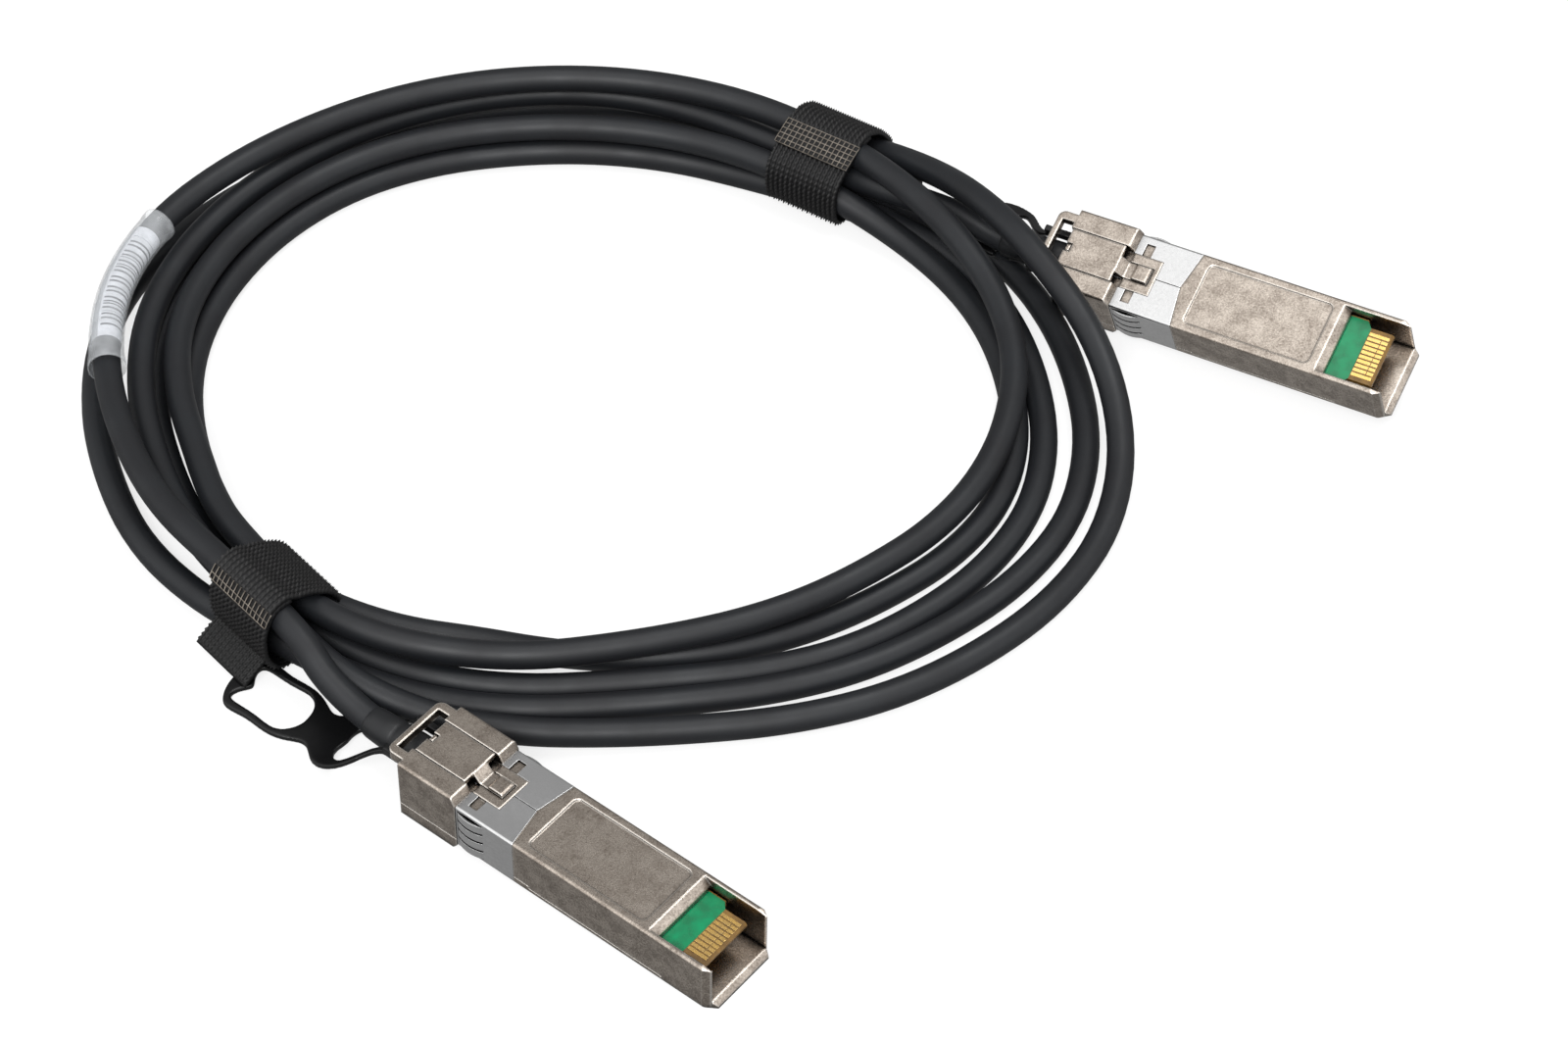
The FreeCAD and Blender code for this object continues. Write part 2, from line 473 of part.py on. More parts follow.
def circuit_board():
    """Board with a narrower bevelled nose."""
    half, nose = BOARD_WIDTH / 2, BOARD_NOSE_WIDTH / 2
    shoulder = BOARD_FRONT + BOARD_NOSE_LENGTH
    outline = [(BOARD_FRONT, -nose), (shoulder, -nose), (shoulder, -half), (BOARD_REAR, -half),
               (BOARD_REAR, half), (shoulder, half), (shoulder, nose), (BOARD_FRONT, nose)]
    top = BOARD_BOTTOM + BOARD_THICKNESS
    board = plan_profile(outline, (BOARD_BOTTOM, top))
    nose_edges = [e for e in board.Edges if abs(e.tangentAt(e.FirstParameter).y) > 0.99
                  and abs(e.CenterOfMass.x - BOARD_FRONT) < 0.01]
    return board.makeChamfer(BOARD_BEVEL, nose_edges)


def contact_pads():
    """Two rows of gold pads; the inner ones have a short lead-in piece of their own."""
    pads = []
    front = BOARD_FRONT + BOARD_BEVEL + 0.1
    faces = (BOARD_BOTTOM - PAD_THICKNESS, BOARD_BOTTOM + BOARD_THICKNESS)
    for low in faces:
        for k in range(PAD_COUNT):
            y = (k - (PAD_COUNT - 1) / 2) * PAD_PITCH
            spans = [(front, front + PAD_LENGTH)]
            if 0 < k < PAD_COUNT - 1:
                split = front + PAD_SPLIT
                spans = [(front, split - 0.06), (split + 0.06, front + PAD_LENGTH)]
            for span in spans:
                pads.append(block(span, (y - PAD_WIDTH / 2, y + PAD_WIDTH / 2), (low, low + PAD_THICKNESS)))
    return Part.makeCompound(pads)


def wire_pairs():
    """Four insulated wires from the crimp to the board, two on each face."""
    wires = []
    for side in (-1, 1):
        for level in (-1, 1):
            board_z = BOARD_BOTTOM - WIRE_RADIUS
            if level > 0:
                board_z = BOARD_BOTTOM + BOARD_THICKNESS + WIRE_RADIUS
            start = Vector(FERRULE_FRONT, side * WIRE_SPREAD / 2, CABLE_AXIS_Z + level * 0.7)
            knee = Vector(FERRULE_FRONT - 2.2, side * WIRE_SPREAD, board_z)
            end = Vector(BOARD_REAR - 1.2, side * WIRE_SPREAD, board_z)
            wires.append(tube([start, knee, end], WIRE_RADIUS))
    ferrule = crimp_ferrule()
    return Part.makeCompound([wire.cut(ferrule) for wire in wires])


def crimp_ferrule():
    """Crimped ring that ends the cable's shield."""
    return Part.makeCylinder(FERRULE_RADIUS, BOOT_FRONT - FERRULE_FRONT,
                             Vector(FERRULE_FRONT, 0, CABLE_AXIS_Z), Vector(1, 0, 0))


def cable_boot():
    """Strain relief: a flange held inside the head and a tapering sleeve behind it."""
    wall_front = HEAD_REAR - HEAD_WALL - FIT
    neck_rear = HEAD_REAR + FIT
    profile = [(BOOT_FRONT, 0), (BOOT_FRONT, BOOT_FLANGE_RADIUS), (wall_front, BOOT_FLANGE_RADIUS),
               (wall_front, BOOT_RADIUS), (neck_rear, BOOT_RADIUS), (BOOT_REAR - 0.4, BOOT_END_RADIUS),
               (BOOT_REAR, BOOT_END_RADIUS - 0.25), (BOOT_REAR, 0)]
    corners = [Vector(x, 0, CABLE_AXIS_Z + r) for x, r in profile]
    face = Part.Face(Part.makePolygon(corners + corners[:1]))
    return face.revolve(Vector(0, 0, CABLE_AXIS_Z), Vector(1, 0, 0), 360)


# ---------------------------------------------------------------- pull tab
def tab_middle(x, sway):
    """Sideways place of the tab's middle line at a distance x from the tip."""
    root, eye, loop = sway
    rise = min(max((x - TAB_NECK) / TAB_SWAY_LENGTH, 0.0), 1.0)
    drift = min(max((x - TAB_NECK - TAB_SWAY_LENGTH) / TAB_DRIFT_LENGTH, 0.0), 1.0)
    return root + (eye - root) * rise * rise * (3 - 2 * rise) + (loop - eye) * drift


def tab_shift(x, shortening):
    """Distance from the tip once the finger loop is drawn in by the given amount."""
    return x - shortening * min(max((x - TAB_LOOP_FRONT) / TAB_DRAW_LENGTH, 0.0), 1.0)


def tab_face(stations, plug, open_front):
    """Flat face with the outline of half widths on both sides of the tab's middle line."""
    left, right = [], []
    for x, half in stations:
        place = tab_shift(x, plug.tab_shortening)
        middle = tab_middle(x, plug.tab_sway)
        left.append(Vector(place, middle + half, 0))
        if half > 0:
            right.append(Vector(place, middle - half, 0))
    loop = left + list(reversed(right))
    curve = Part.BSplineCurve()
    if open_front:
        curve.interpolate(Points=loop)
        wire = Part.Wire([curve.toShape(), Part.LineSegment(loop[-1], loop[0]).toShape()])
    else:
        curve.interpolate(Points=loop, PeriodicFlag=True)
        wire = Part.Wire([curve.toShape()])
    return Part.Face(wire)


def tab_ribbon(plug):
    """Side view of the drooping tab, as a band of even height across the whole width."""
    curves = []
    for offset in (-TAB_SHEET / 2, TAB_SHEET / 2):
        curve = Part.BSplineCurve()
        curve.interpolate(Points=[Vector(x, -30, z + offset) for x, z in plug.tab_heights])
        curves.append(curve)
    low, high = curves
    rear = Part.LineSegment(low.EndPoint, high.EndPoint).toShape()
    front = Part.LineSegment(high.StartPoint, low.StartPoint).toShape()
    face = Part.Face(Part.Wire([low.toShape(), rear, high.toShape(), front]))
    return face.extrude(Vector(0, 60, 0))


def pull_tab(plug, slider, lead):
    """Soft moulded tab: two arms on the slider's ends, an eye round the boot and a finger loop.

    The cable presses on the tab's web, which is dished for it over the whole travel.
    """
    sheet = tab_face(TAB_OUTLINE, plug, True)
    eye = tab_face([(x, h) for x, h in TAB_EYE], plug, False)
    loop = tab_face(TAB_FINGER_LOOP, plug, False)
    flat = sheet.extrude(Vector(0, 0, 30)).cut([eye.extrude(Vector(0, 0, 30)), loop.extrude(Vector(0, 0, 30))])
    flat.translate(Vector(0, 0, -5))
    body = flat.common(tab_ribbon(plug))
    body.Placement = plug.heading
    arm = block((TAB_ROOT, TAB_NECK + 1.6), TAB_ARM_Y, TAB_ARM_Z)
    arms = both_sides(arm)
    arms.Placement = plug.placement
    boot = Part.makeCylinder(BOOT_RADIUS + RUNNING, BOOT_REAR - HEAD_REAR + 1,
                             Vector(HEAD_REAR, 0, CABLE_AXIS_Z), Vector(1, 0, 0))
    boot.Placement = plug.placement
    pulled = lead.translated(plug.placement.Rotation.multVec(Vector(-TAB_TRAVEL, 0, 0)))
    return body.fuse(arms).cut([boot, slider, lead, pulled]).removeSplitter()


# ---------------------------------------------------------------- cable paths
def path_edges(points):
    """Straight runs joined by tangent arcs as large as the two runs beside each point allow."""
    edges = []
    start = points[0]
    radii = []
    for before, corner, after in zip(points, points[1:], points[2:]):
        back, ahead = before - corner, after - corner
        run = min(back.Length, ahead.Length)
        turn = math.pi - back.getAngle(ahead)
        reach = 0.45 * run
        radius = reach / math.tan(turn / 2)
        radii.append(radius)
        back.normalize()
        ahead.normalize()
        first, last = corner + back * reach, corner + ahead * reach
        inward = (back + ahead).normalize()
        middle = corner + inward * (radius / math.cos(turn / 2) - radius)
        edges.append(Part.LineSegment(start, first).toShape())
        edges.append(Part.Arc(first, middle, last).toShape())
        start = last
    edges.append(Part.LineSegment(start, points[-1]).toShape())
    return edges, radii


def sweep(edges, radius):
    """Round rod along a list of edges."""
    wire = Part.Wire(edges)
    first = edges[0]
    start = first.valueAt(first.FirstParameter)
    tangent = first.tangentAt(first.FirstParameter)
    circle = Part.Wire([Part.Circle(start, tangent, radius).toShape()])
    return wire.makePipeShell([circle], True, True)


def tube(points, radius):
    """Round rod along a route of points."""
    edges, _ = path_edges(points)
    return sweep(edges, radius)


def polar(angle, radius, height):
    """Point given by its angle and distance about the coil's centre."""
    turn = math.radians(angle)
    return COIL_CENTRE + Vector(radius * math.cos(turn), radius * math.sin(turn), height)


def smooth(stations, angle, column):
    """Value of a station column at an angle, by a cubic through the neighbouring stations."""
    count = len(stations)
    going_down = stations[-1][0] < stations[0][0]
    span = 0
    for k in range(count - 1):
        passed = angle <= stations[k][0] if going_down else angle >= stations[k][0]
        if passed:
            span = k
    slopes = []
    for k in (span, span + 1):
        low, high = max(k - 1, 0), min(k + 1, count - 1)
        slopes.append((stations[high][column] - stations[low][column]) / (stations[high][0] - stations[low][0]))
    a0, a1 = stations[span][0], stations[span + 1][0]
    v0, v1 = stations[span][column], stations[span + 1][column]
    u = (angle - a0) / (a1 - a0)
    width = a1 - a0
    return ((2 * u ** 3 - 3 * u ** 2 + 1) * v0 + (u ** 3 - 2 * u ** 2 + u) * width * slopes[0]
            + (3 * u ** 2 - 2 * u ** 3) * v1 + (u ** 3 - u ** 2) * width * slopes[1])


def pass_points(stations):
    """Evenly turned points of one free pass between the two straps."""
    first, last = stations[0][0], stations[-1][0]
    count = round(abs(last - first) / PASS_STEP)
    points = []
    for k in range(count + 1):
        angle = first + (last - first) * k / count
        points.append(polar(angle, smooth(stations, angle, 1), smooth(stations, angle, 2)))
    return points


# ---------------------------------------------------------------- coil, straps, sleeve
def strap_frame(angle):
    """Placement whose x runs outwards, y along the cable and z up at a strap."""
    return Placement(COIL_CENTRE, Rotation(angle, 0, 0))


def strap_zones():
    """Slabs as wide as the straps, where the bundles take the place of the passes."""
    section = [(40, -1), (90, -1), (90, 30), (40, 30)]
    return [strap_prism(section, angle, STRAP_WIDTH / 2) for angle in (STRAP_A_ANGLE, STRAP_B_ANGLE)]


def strap_prism(outline, angle, half_width):
    """Prism of a radius-height outline, centred on a strap."""
    prism = side_profile(outline, 2 * half_width)
    prism.Placement = strap_frame(angle)
    return prism


def grown(outline, distance):
    """Outline moved outwards by a distance."""
    corners = [Vector(r, 0, z) for r, z in outline]
    wire = Part.makePolygon(corners + corners[:1])
    face = Part.Face(wire.makeOffset2D(distance, 2))
    points = [vertex.Point for vertex in face.OuterWire.OrderedVertexes]
    return [(point.x, point.z) for point in points]


def closed_outline(stations, height):
    """Closed smooth wire through angle-radius stations that go once round."""
    curve = Part.BSplineCurve()
    curve.interpolate(Points=[polar(a, r, height) for a, r in stations], PeriodicFlag=True)
    return Part.Wire([curve.toShape()])


def coil_layers():
    """Lowest layer all the way round and second layer on the left half, without the straps."""
    outer = Part.Face(closed_outline(COIL_OUTER, 0.0)).extrude(Vector(0, 0, LAYER))
    inner = Part.Face(closed_outline(COIL_INNER, -1.0)).extrude(Vector(0, 0, LAYER + 2))
    lower = outer.cut(inner)
    curves = []
    for stations in (SECOND_INNER, SECOND_OUTER):
        curve = Part.BSplineCurve()
        curve.interpolate(Points=[polar(a, r, LAYER) for a, r in stations])
        curves.append(curve)
    inside, outside = curves
    ends = [Part.LineSegment(inside.EndPoint, outside.EndPoint).toShape(),
            Part.LineSegment(outside.StartPoint, inside.StartPoint).toShape()]
    face = Part.Face(Part.Wire([inside.toShape(), ends[0], outside.toShape(), ends[1]]))
    return lower.fuse(face.extrude(Vector(0, 0, LAYER)))


def straps():
    """The two straps as closed bands, and the bundles that they hold."""
    half = STRAP_WIDTH / 2
    bands, bundles = [], []
    for outline, angle in ((BUNDLE_A, STRAP_A_ANGLE), (BUNDLE_B, STRAP_B_ANGLE)):
        bundle = strap_prism(outline, angle, half)
        bundles.append(bundle)
        bands.append(strap_prism(grown(outline, STRAP_SHEET), angle, half).cut(bundle))
    tail = side_profile(STRAP_B_TAIL, STRAP_B_TAIL_SPAN[1] - STRAP_B_TAIL_SPAN[0], sum(STRAP_B_TAIL_SPAN) / 2)
    tail.Placement = strap_frame(STRAP_B_ANGLE)
    bands[1] = bands[1].fuse(tail).removeSplitter()
    return bands, bundles


def cable_coil(bundles):
    """One closed solid for all passes that lie packed together."""
    return coil_layers().cut(strap_zones()).fuse(bundles).removeSplitter()


def report_path(name, points, radius, solid):
    """Print the bend radii of a cable stretch and its volume against section times length."""
    edges, radii = path_edges(points)
    length = sum(edge.Length for edge in edges)
    ideal = math.pi * radius ** 2 * length
    print(f"{name}: length {length:.1f}, least radius {min(radii):.1f}, volume ratio {solid.Volume / ideal:.4f}")


def cable_stretches():
    """Free stretches of the cable by node name, as lists of points."""
    plug_a, plug_b = PLUGS
    exit_a = plug_a.point(BOOT_REAR, 0, CABLE_AXIS_Z)
    exit_b = plug_b.point(BOOT_REAR, 0, CABLE_AXIS_Z)
    half = STRAP_WIDTH / 2
    entry_b = strap_frame(STRAP_B_ANGLE).multVec(Vector(64.0, half - 1, 11.3))
    entry_a = strap_frame(STRAP_A_ANGLE).multVec(Vector(65.0, 1 - half, 6.8))
    return {
        "cable_lead_a": [exit_a] + [Vector(*p) for p in LEAD_A_ROUTE] + [entry_b],
        "cable_over_left": pass_points(OVER_LEFT),
        "cable_over_right": pass_points(OVER_RIGHT),
        "cable_outer_turn": pass_points(OUTER_RIGHT),
        "cable_lead_b": [exit_b] + [Vector(*p) for p in LEAD_B_ROUTE] + [entry_a],
    }


# ---------------------------------------------------------------- the whole part
def plug_nodes(plug, lead):
    """All pieces of one plug, placed beside the coil."""
    pieces = {
        "base_shell": base_shell(),
        "cover_shell": cover_shell(),
        "emi_collar": emi_collar(),
        "latch": latch(),
        "latch_pin": latch_pin(),
        "latch_spring": latch_spring(),
        "release_slider": release_slider(),
        "circuit_board": circuit_board(),
        "contact_pads": contact_pads(),
        "wire_pairs": wire_pairs(),
        "crimp_ferrule": crimp_ferrule(),
        "cable_boot": cable_boot(),
    }
    for shape in pieces.values():
        shape.Placement = plug.placement.multiply(shape.Placement)
    pieces["pull_tab"] = pull_tab(plug, pieces["release_slider"], lead)
    return {f"{name}_{plug.name}": shape for name, shape in pieces.items()}


def cable_nodes(boots):
    """Coil, free stretches, straps, sleeve and its label."""
    bands, bundles = straps()
    nodes = {"cable_coil": cable_coil(bundles), "strap_a": bands[0], "strap_b": bands[1]}
    for name, points in cable_stretches().items():
        rod = tube(points, CABLE_RADIUS)
        report_path(name, points, CABLE_RADIUS, rod)
        nodes[name] = rod.cut(strap_zones() + boots)
    edges, _ = path_edges(pass_points(OVER_LEFT))
    sleeve_edges = edges[SLEEVE_RUNS[0]:SLEEVE_RUNS[1]]
    label_edges = edges[LABEL_RUNS[0]:LABEL_RUNS[1]]
    sleeve = sweep(sleeve_edges, SLEEVE_RADIUS)
    nodes["id_sleeve"] = sleeve.cut(sweep(sleeve_edges, CABLE_RADIUS))
    label = sweep(label_edges, SLEEVE_RADIUS + LABEL_SHEET)
    nodes["id_label"] = label.cut(sweep(label_edges, SLEEVE_RADIUS))
    return nodes


def main():
    """Build every node, stand the part on its origin and write the files."""
    os.makedirs("parts", exist_ok=True)
    plugs = {}
    routes = cable_stretches()
    for plug in PLUGS:
        lead = tube(routes[f"cable_lead_{plug.name}"], CABLE_RADIUS + FIT)
        plugs.update(plug_nodes(plug, lead))
    footprint = Part.makeCompound(list(plugs.values())).BoundBox
    home = Vector(-footprint.Center.x, -footprint.Center.y, -footprint.ZMin)
    print("shift to the origin:", home)
    boots = [shape for name, shape in plugs.items() if name.startswith("cable_boot")]
    for name, shape in {**plugs, **cable_nodes(boots)}.items():
        placed = shape.translated(home)
        placed.exportStep(f"parts/{name}.step")
        print(name, "solids", len(placed.Solids), "valid", placed.isValid(), "volume", round(placed.Volume, 2))


main()
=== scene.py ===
"""Looks of the direct attach copper cable.

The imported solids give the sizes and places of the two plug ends. This script dresses them, lays one round
cable in five and a half turns between them, and adds what is soft: straps, pull tabs, boots, the
identification sleeve and its label. Everything is in metres in the frame of the solids, +Z up.
"""
import json
import logging
import math
from collections.abc import Callable
from dataclasses import dataclass
from enum import Enum

import bpy
from mathutils import Euler, Matrix, Vector

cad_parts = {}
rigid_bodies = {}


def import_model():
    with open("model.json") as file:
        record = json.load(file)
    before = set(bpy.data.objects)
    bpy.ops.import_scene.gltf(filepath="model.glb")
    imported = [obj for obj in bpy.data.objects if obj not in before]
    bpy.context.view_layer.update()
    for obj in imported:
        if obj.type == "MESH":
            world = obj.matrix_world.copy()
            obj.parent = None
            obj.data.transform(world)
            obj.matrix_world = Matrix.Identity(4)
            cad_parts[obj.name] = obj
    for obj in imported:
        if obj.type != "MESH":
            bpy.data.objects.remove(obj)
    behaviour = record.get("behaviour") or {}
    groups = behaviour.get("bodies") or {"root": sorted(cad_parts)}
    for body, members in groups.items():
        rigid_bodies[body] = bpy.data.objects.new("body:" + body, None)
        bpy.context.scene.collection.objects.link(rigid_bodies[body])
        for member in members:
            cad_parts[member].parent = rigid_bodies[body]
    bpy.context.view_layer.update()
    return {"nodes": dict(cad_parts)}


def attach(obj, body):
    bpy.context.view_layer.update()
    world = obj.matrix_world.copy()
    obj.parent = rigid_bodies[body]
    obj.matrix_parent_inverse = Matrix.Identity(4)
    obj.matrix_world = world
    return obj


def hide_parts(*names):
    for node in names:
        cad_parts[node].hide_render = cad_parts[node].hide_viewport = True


LOG = logging.getLogger("direct_attach_cable")
MM = 0.001
ROOT = "cable_body"
HOME = Vector((-7.287, 7.826, 0.0))       # shift of the part's layout to its origin, mm
COIL_CENTRE = Vector((-28.0, 18.0, 0.0))  # layout, mm


class Level(Enum):
    """Height of the cable's axis in each layer of the coil, mm."""

    FLOOR = 2.2
    SECOND = 6.4
    TOP = 10.9


class Side(Enum):
    """The two plug ends."""

    A = "a"
    B = "b"


# ---------------------------------------------------------------- small helpers
def linear(colour: str) -> tuple[float, float, float, float]:
    """Turn an sRGB hex colour into linear RGBA.

    Args:
        colour: The colour as #rrggbb.

    Returns:
        Linear red, green, blue and an alpha of 1.
    """
    channels = [int(colour[k:k + 2], 16) / 255 for k in (1, 3, 5)]
    red, green, blue = (c / 12.92 if c <= 0.04045 else ((c + 0.055) / 1.055) ** 2.4 for c in channels)
    return red, green, blue, 1.0


def new_material(name: str) -> tuple[bpy.types.Material, bpy.types.NodeTree]:
    """Make an empty material, and return it with its node tree."""
    material = bpy.data.materials.new(name)
    material.use_nodes = True
    material.node_tree.nodes.clear()
    return material, material.node_tree


def add_node(tree: bpy.types.NodeTree, kind: str, inputs: dict | None = None,
             **settings: object) -> bpy.types.Node:
    """Add one shader node with its settings and links.

    Args:
        tree: The node tree that it goes into.
        kind: The node's type name.
        inputs: Socket name or number, with a value or the output socket that feeds it.
        settings: Attributes of the node itself.

    Returns:
        The new node.
    """
    node = tree.nodes.new(kind)
    for name, value in settings.items():
        setattr(node, name, value)
    for name, value in (inputs or {}).items():
        if isinstance(value, bpy.types.NodeSocket):
            tree.links.new(value, node.inputs[name])
        else:
            node.inputs[name].default_value = value
    return node


def deselect_all() -> None:
    """Leave nothing selected, so that the next operator acts on its own new primitive."""
    for other in bpy.context.view_layer.objects:
        other.select_set(False)


def select_only(piece: bpy.types.Object) -> None:
    """Make one object the only selected and the active one."""
    deselect_all()
    piece.select_set(True)
    bpy.context.view_layer.objects.active = piece


def started(name: str) -> bpy.types.Object:
    """Name the primitive that was just added, and return it."""
    piece = bpy.context.object
    piece.name = name
    piece.data.name = name
    return piece


def shaped_grid(name: str, columns: int, rows: int, place: Callable[[float, float], Vector],
                closed: bool = False) -> bpy.types.Object:
    """Model a sheet from a grid whose every point is moved to its place.

    Args:
        name: The piece's name.
        columns: Number of faces along u.
        rows: Number of faces along v.
        place: Gives the place of the point at u and v, both from 0 to 1.
        closed: Whether two edges of the sheet meet and are welded.

    Returns:
        The sheet, with the grid's own UV map.
    """
    deselect_all()
    bpy.ops.mesh.primitive_grid_add(x_subdivisions=columns, y_subdivisions=rows, size=2, calc_uvs=True)
    sheet = started(name)
    for vertex in sheet.data.vertices:
        u, v = (vertex.co.x + 1) / 2, (vertex.co.y + 1) / 2
        vertex.co = place(u, v)
    if closed:
        bpy.ops.object.mode_set(mode="EDIT")
        bpy.ops.mesh.select_all(action="SELECT")
        bpy.ops.mesh.remove_doubles(threshold=1e-6)
        bpy.ops.mesh.normals_make_consistent(inside=False)
        bpy.ops.object.mode_set(mode="OBJECT")
    bpy.ops.object.shade_smooth()
    return sheet


def finish_with(piece: bpy.types.Object, kind: str, **settings: object) -> None:
    """Add a modifier to a piece and apply it at once.

    Args:
        piece: The mesh object.
        kind: The modifier's type name.
        settings: The modifier's attributes.
    """
    select_only(piece)
    modifier = piece.modifiers.new(kind.lower(), kind)
    for name, value in settings.items():
        setattr(modifier, name, value)
    bpy.ops.object.modifier_apply(modifier=modifier.name)


def seat(piece: bpy.types.Object, place: Matrix) -> None:
    """Move a finished piece's vertices to their place, and leave its object at the origin."""
    piece.data.transform(place)
    piece.data.update()


def dress(piece: bpy.types.Object, material: bpy.types.Material) -> None:
    """Give a piece one material on every face."""
    piece.data.materials.clear()
    piece.data.materials.append(material)


def catmull(table: list[tuple[float, ...]], at: float) -> tuple[float, ...]:
    """Read a table of stations smoothly between its rows.

    Args:
        table: Rows whose first number falls from row to row.
        at: The place along the first column.

    Returns:
        The other columns at that place.
    """
    span = 0
    while span < len(table) - 2 and at < table[span + 1][0]:
        span += 1
    rows = [table[max(0, min(len(table) - 1, span + k))] for k in (-1, 0, 1, 2)]
    width = rows[2][0] - rows[1][0]
    u = (at - rows[1][0]) / width
    result = []
    for column in range(1, len(rows[0])):
        slope_in = (rows[2][column] - rows[0][column]) / (rows[2][0] - rows[0][0]) * width
        slope_out = (rows[3][column] - rows[1][column]) / (rows[3][0] - rows[1][0]) * width
        result.append((2 * u ** 3 - 3 * u ** 2 + 1) * rows[1][column] + (u ** 3 - 2 * u ** 2 + u) * slope_in
                      + (3 * u ** 2 - 2 * u ** 3) * rows[2][column] + (u ** 3 - u ** 2) * slope_out)
    return tuple(result)


def between(rows: list[tuple[float, ...]], at: float) -> tuple[float, ...]:
    """Return the row at a fractional place in a list, straight between its two neighbours."""
    k = min(int(at), len(rows) - 2)
    return tuple(low + (high - low) * (at - k) for low, high in zip(rows[k], rows[k + 1]))


def about_coil(angle: float, radius: float, height: float) -> Vector:
    """Place in the row's frame, in metres, of a point given about the coil's centre.

    Args:
        angle: Degrees about the coil's centre.
        radius: Distance from it, mm.
        height: Height above the floor, mm.
    """
    turn = math.radians(angle)
    out = Vector((radius * math.cos(turn), radius * math.sin(turn), height))
    return (COIL_CENTRE + out + HOME) * MM


# ---------------------------------------------------------------- finishes
@dataclass(frozen=True)
class Metal:
    """A metal finish: cast and plated, stamped, or drawn.

    Cast and tumbled nickel over zinc is a warm grey with clouds a few millimetres wide and a fine satin
    grain. Its edges get a painted highlight, a lighter colour along them, and its recesses painted shade.
    Stamped stainless steel is cooler, smoother and brighter.
    """

    name: str
    light: str
    dark: str
    # edge: colour of the painted highlight along the edges
    edge: str
    roughness: float
    cloud_mm: float
    grain_mm: float
    grain_depth_mm: float
    edge_mm: float

    def build(self) -> bpy.types.Material:
        """Make the material's nodes."""
        material, tree = new_material(self.name)
        place = add_node(tree, "ShaderNodeTexCoord").outputs["Object"]
        clouds = add_node(tree, "ShaderNodeTexNoise", {
            "Vector": place, "Scale": 1 / (self.cloud_mm * MM), "Detail": 3.0, "Roughness": 0.5})
        grain = add_node(tree, "ShaderNodeTexNoise", {
            "Vector": place, "Scale": 1 / (self.grain_mm * MM), "Detail": 4.0, "Roughness": 0.75})
        cloud_tone = add_node(tree, "ShaderNodeMapRange", {
            "Value": clouds.outputs["Fac"], "From Min": 0.36, "From Max": 0.66})
        grain_tone = add_node(tree, "ShaderNodeMapRange", {
            "Value": grain.outputs["Fac"], "From Min": 0.3, "From Max": 0.7})
        tone = add_node(tree, "ShaderNodeMath", {0: cloud_tone.outputs[0], 1: 0.3}, operation="MULTIPLY")
        tone = add_node(tree, "ShaderNodeMath", {
            0: grain_tone.outputs[0], 1: 0.7, 2: tone.outputs[0]}, operation="MULTIPLY_ADD")
        base = add_node(tree, "ShaderNodeMix", {
            "Factor": tone.outputs[0], "A": linear(self.dark), "B": linear(self.light)}, data_type="RGBA")
        flat = add_node(tree, "ShaderNodeNewGeometry").outputs["Normal"]
        rounded = add_node(tree, "ShaderNodeBevel", {"Radius": self.edge_mm * MM}, samples=6)
        # Painted highlight: the colour turns lighter, towards the edge colour, where the bevel's rounded
        # normal leaves the flat one.
        across = add_node(tree, "ShaderNodeVectorMath", {
            0: flat, 1: rounded.outputs[0]}, operation="DOT_PRODUCT")
        edge_highlight_mask = add_node(tree, "ShaderNodeMapRange", {
            "Value": across.outputs["Value"], "From Min": 0.985, "From Max": 0.86})
        edge_highlighted = add_node(tree, "ShaderNodeMix", {
            "Factor": edge_highlight_mask.outputs[0], "A": base.outputs["Result"], "B": linear(self.edge)},
            data_type="RGBA")
        # Painted shade: recesses, gaps and bays are darkened towards #1a1613 by an ambient occlusion mask.
        occlusion_shade = add_node(tree, "ShaderNodeAmbientOcclusion", {"Distance": 1.6 * MM}, samples=6)
        unshaded_share = add_node(tree, "ShaderNodeMapRange", {
            "Value": occlusion_shade.outputs["AO"], "From Min": 0.45, "From Max": 0.92})
        colour = add_node(tree, "ShaderNodeMix", {
            "Factor": unshaded_share.outputs[0], "A": linear("#1a1613"), "B": edge_highlighted.outputs["Result"]},
            data_type="RGBA")
        satin = add_node(tree, "ShaderNodeMapRange", {
            "Value": tone.outputs[0], "To Min": self.roughness + 0.07, "To Max": self.roughness - 0.05})
        bump = add_node(tree, "ShaderNodeBump", {
            "Height": grain.outputs["Fac"], "Strength": 0.5, "Distance": self.grain_depth_mm * MM,
            "Normal": rounded.outputs[0]})
        shader = add_node(tree, "ShaderNodeBsdfPrincipled", {
            "Base Color": colour.outputs["Result"], "Metallic": 1.0, "Roughness": satin.outputs[0],
            "Normal": bump.outputs[0]})
        add_node(tree, "ShaderNodeOutputMaterial", {"Surface": shader.outputs[0]})
        return material


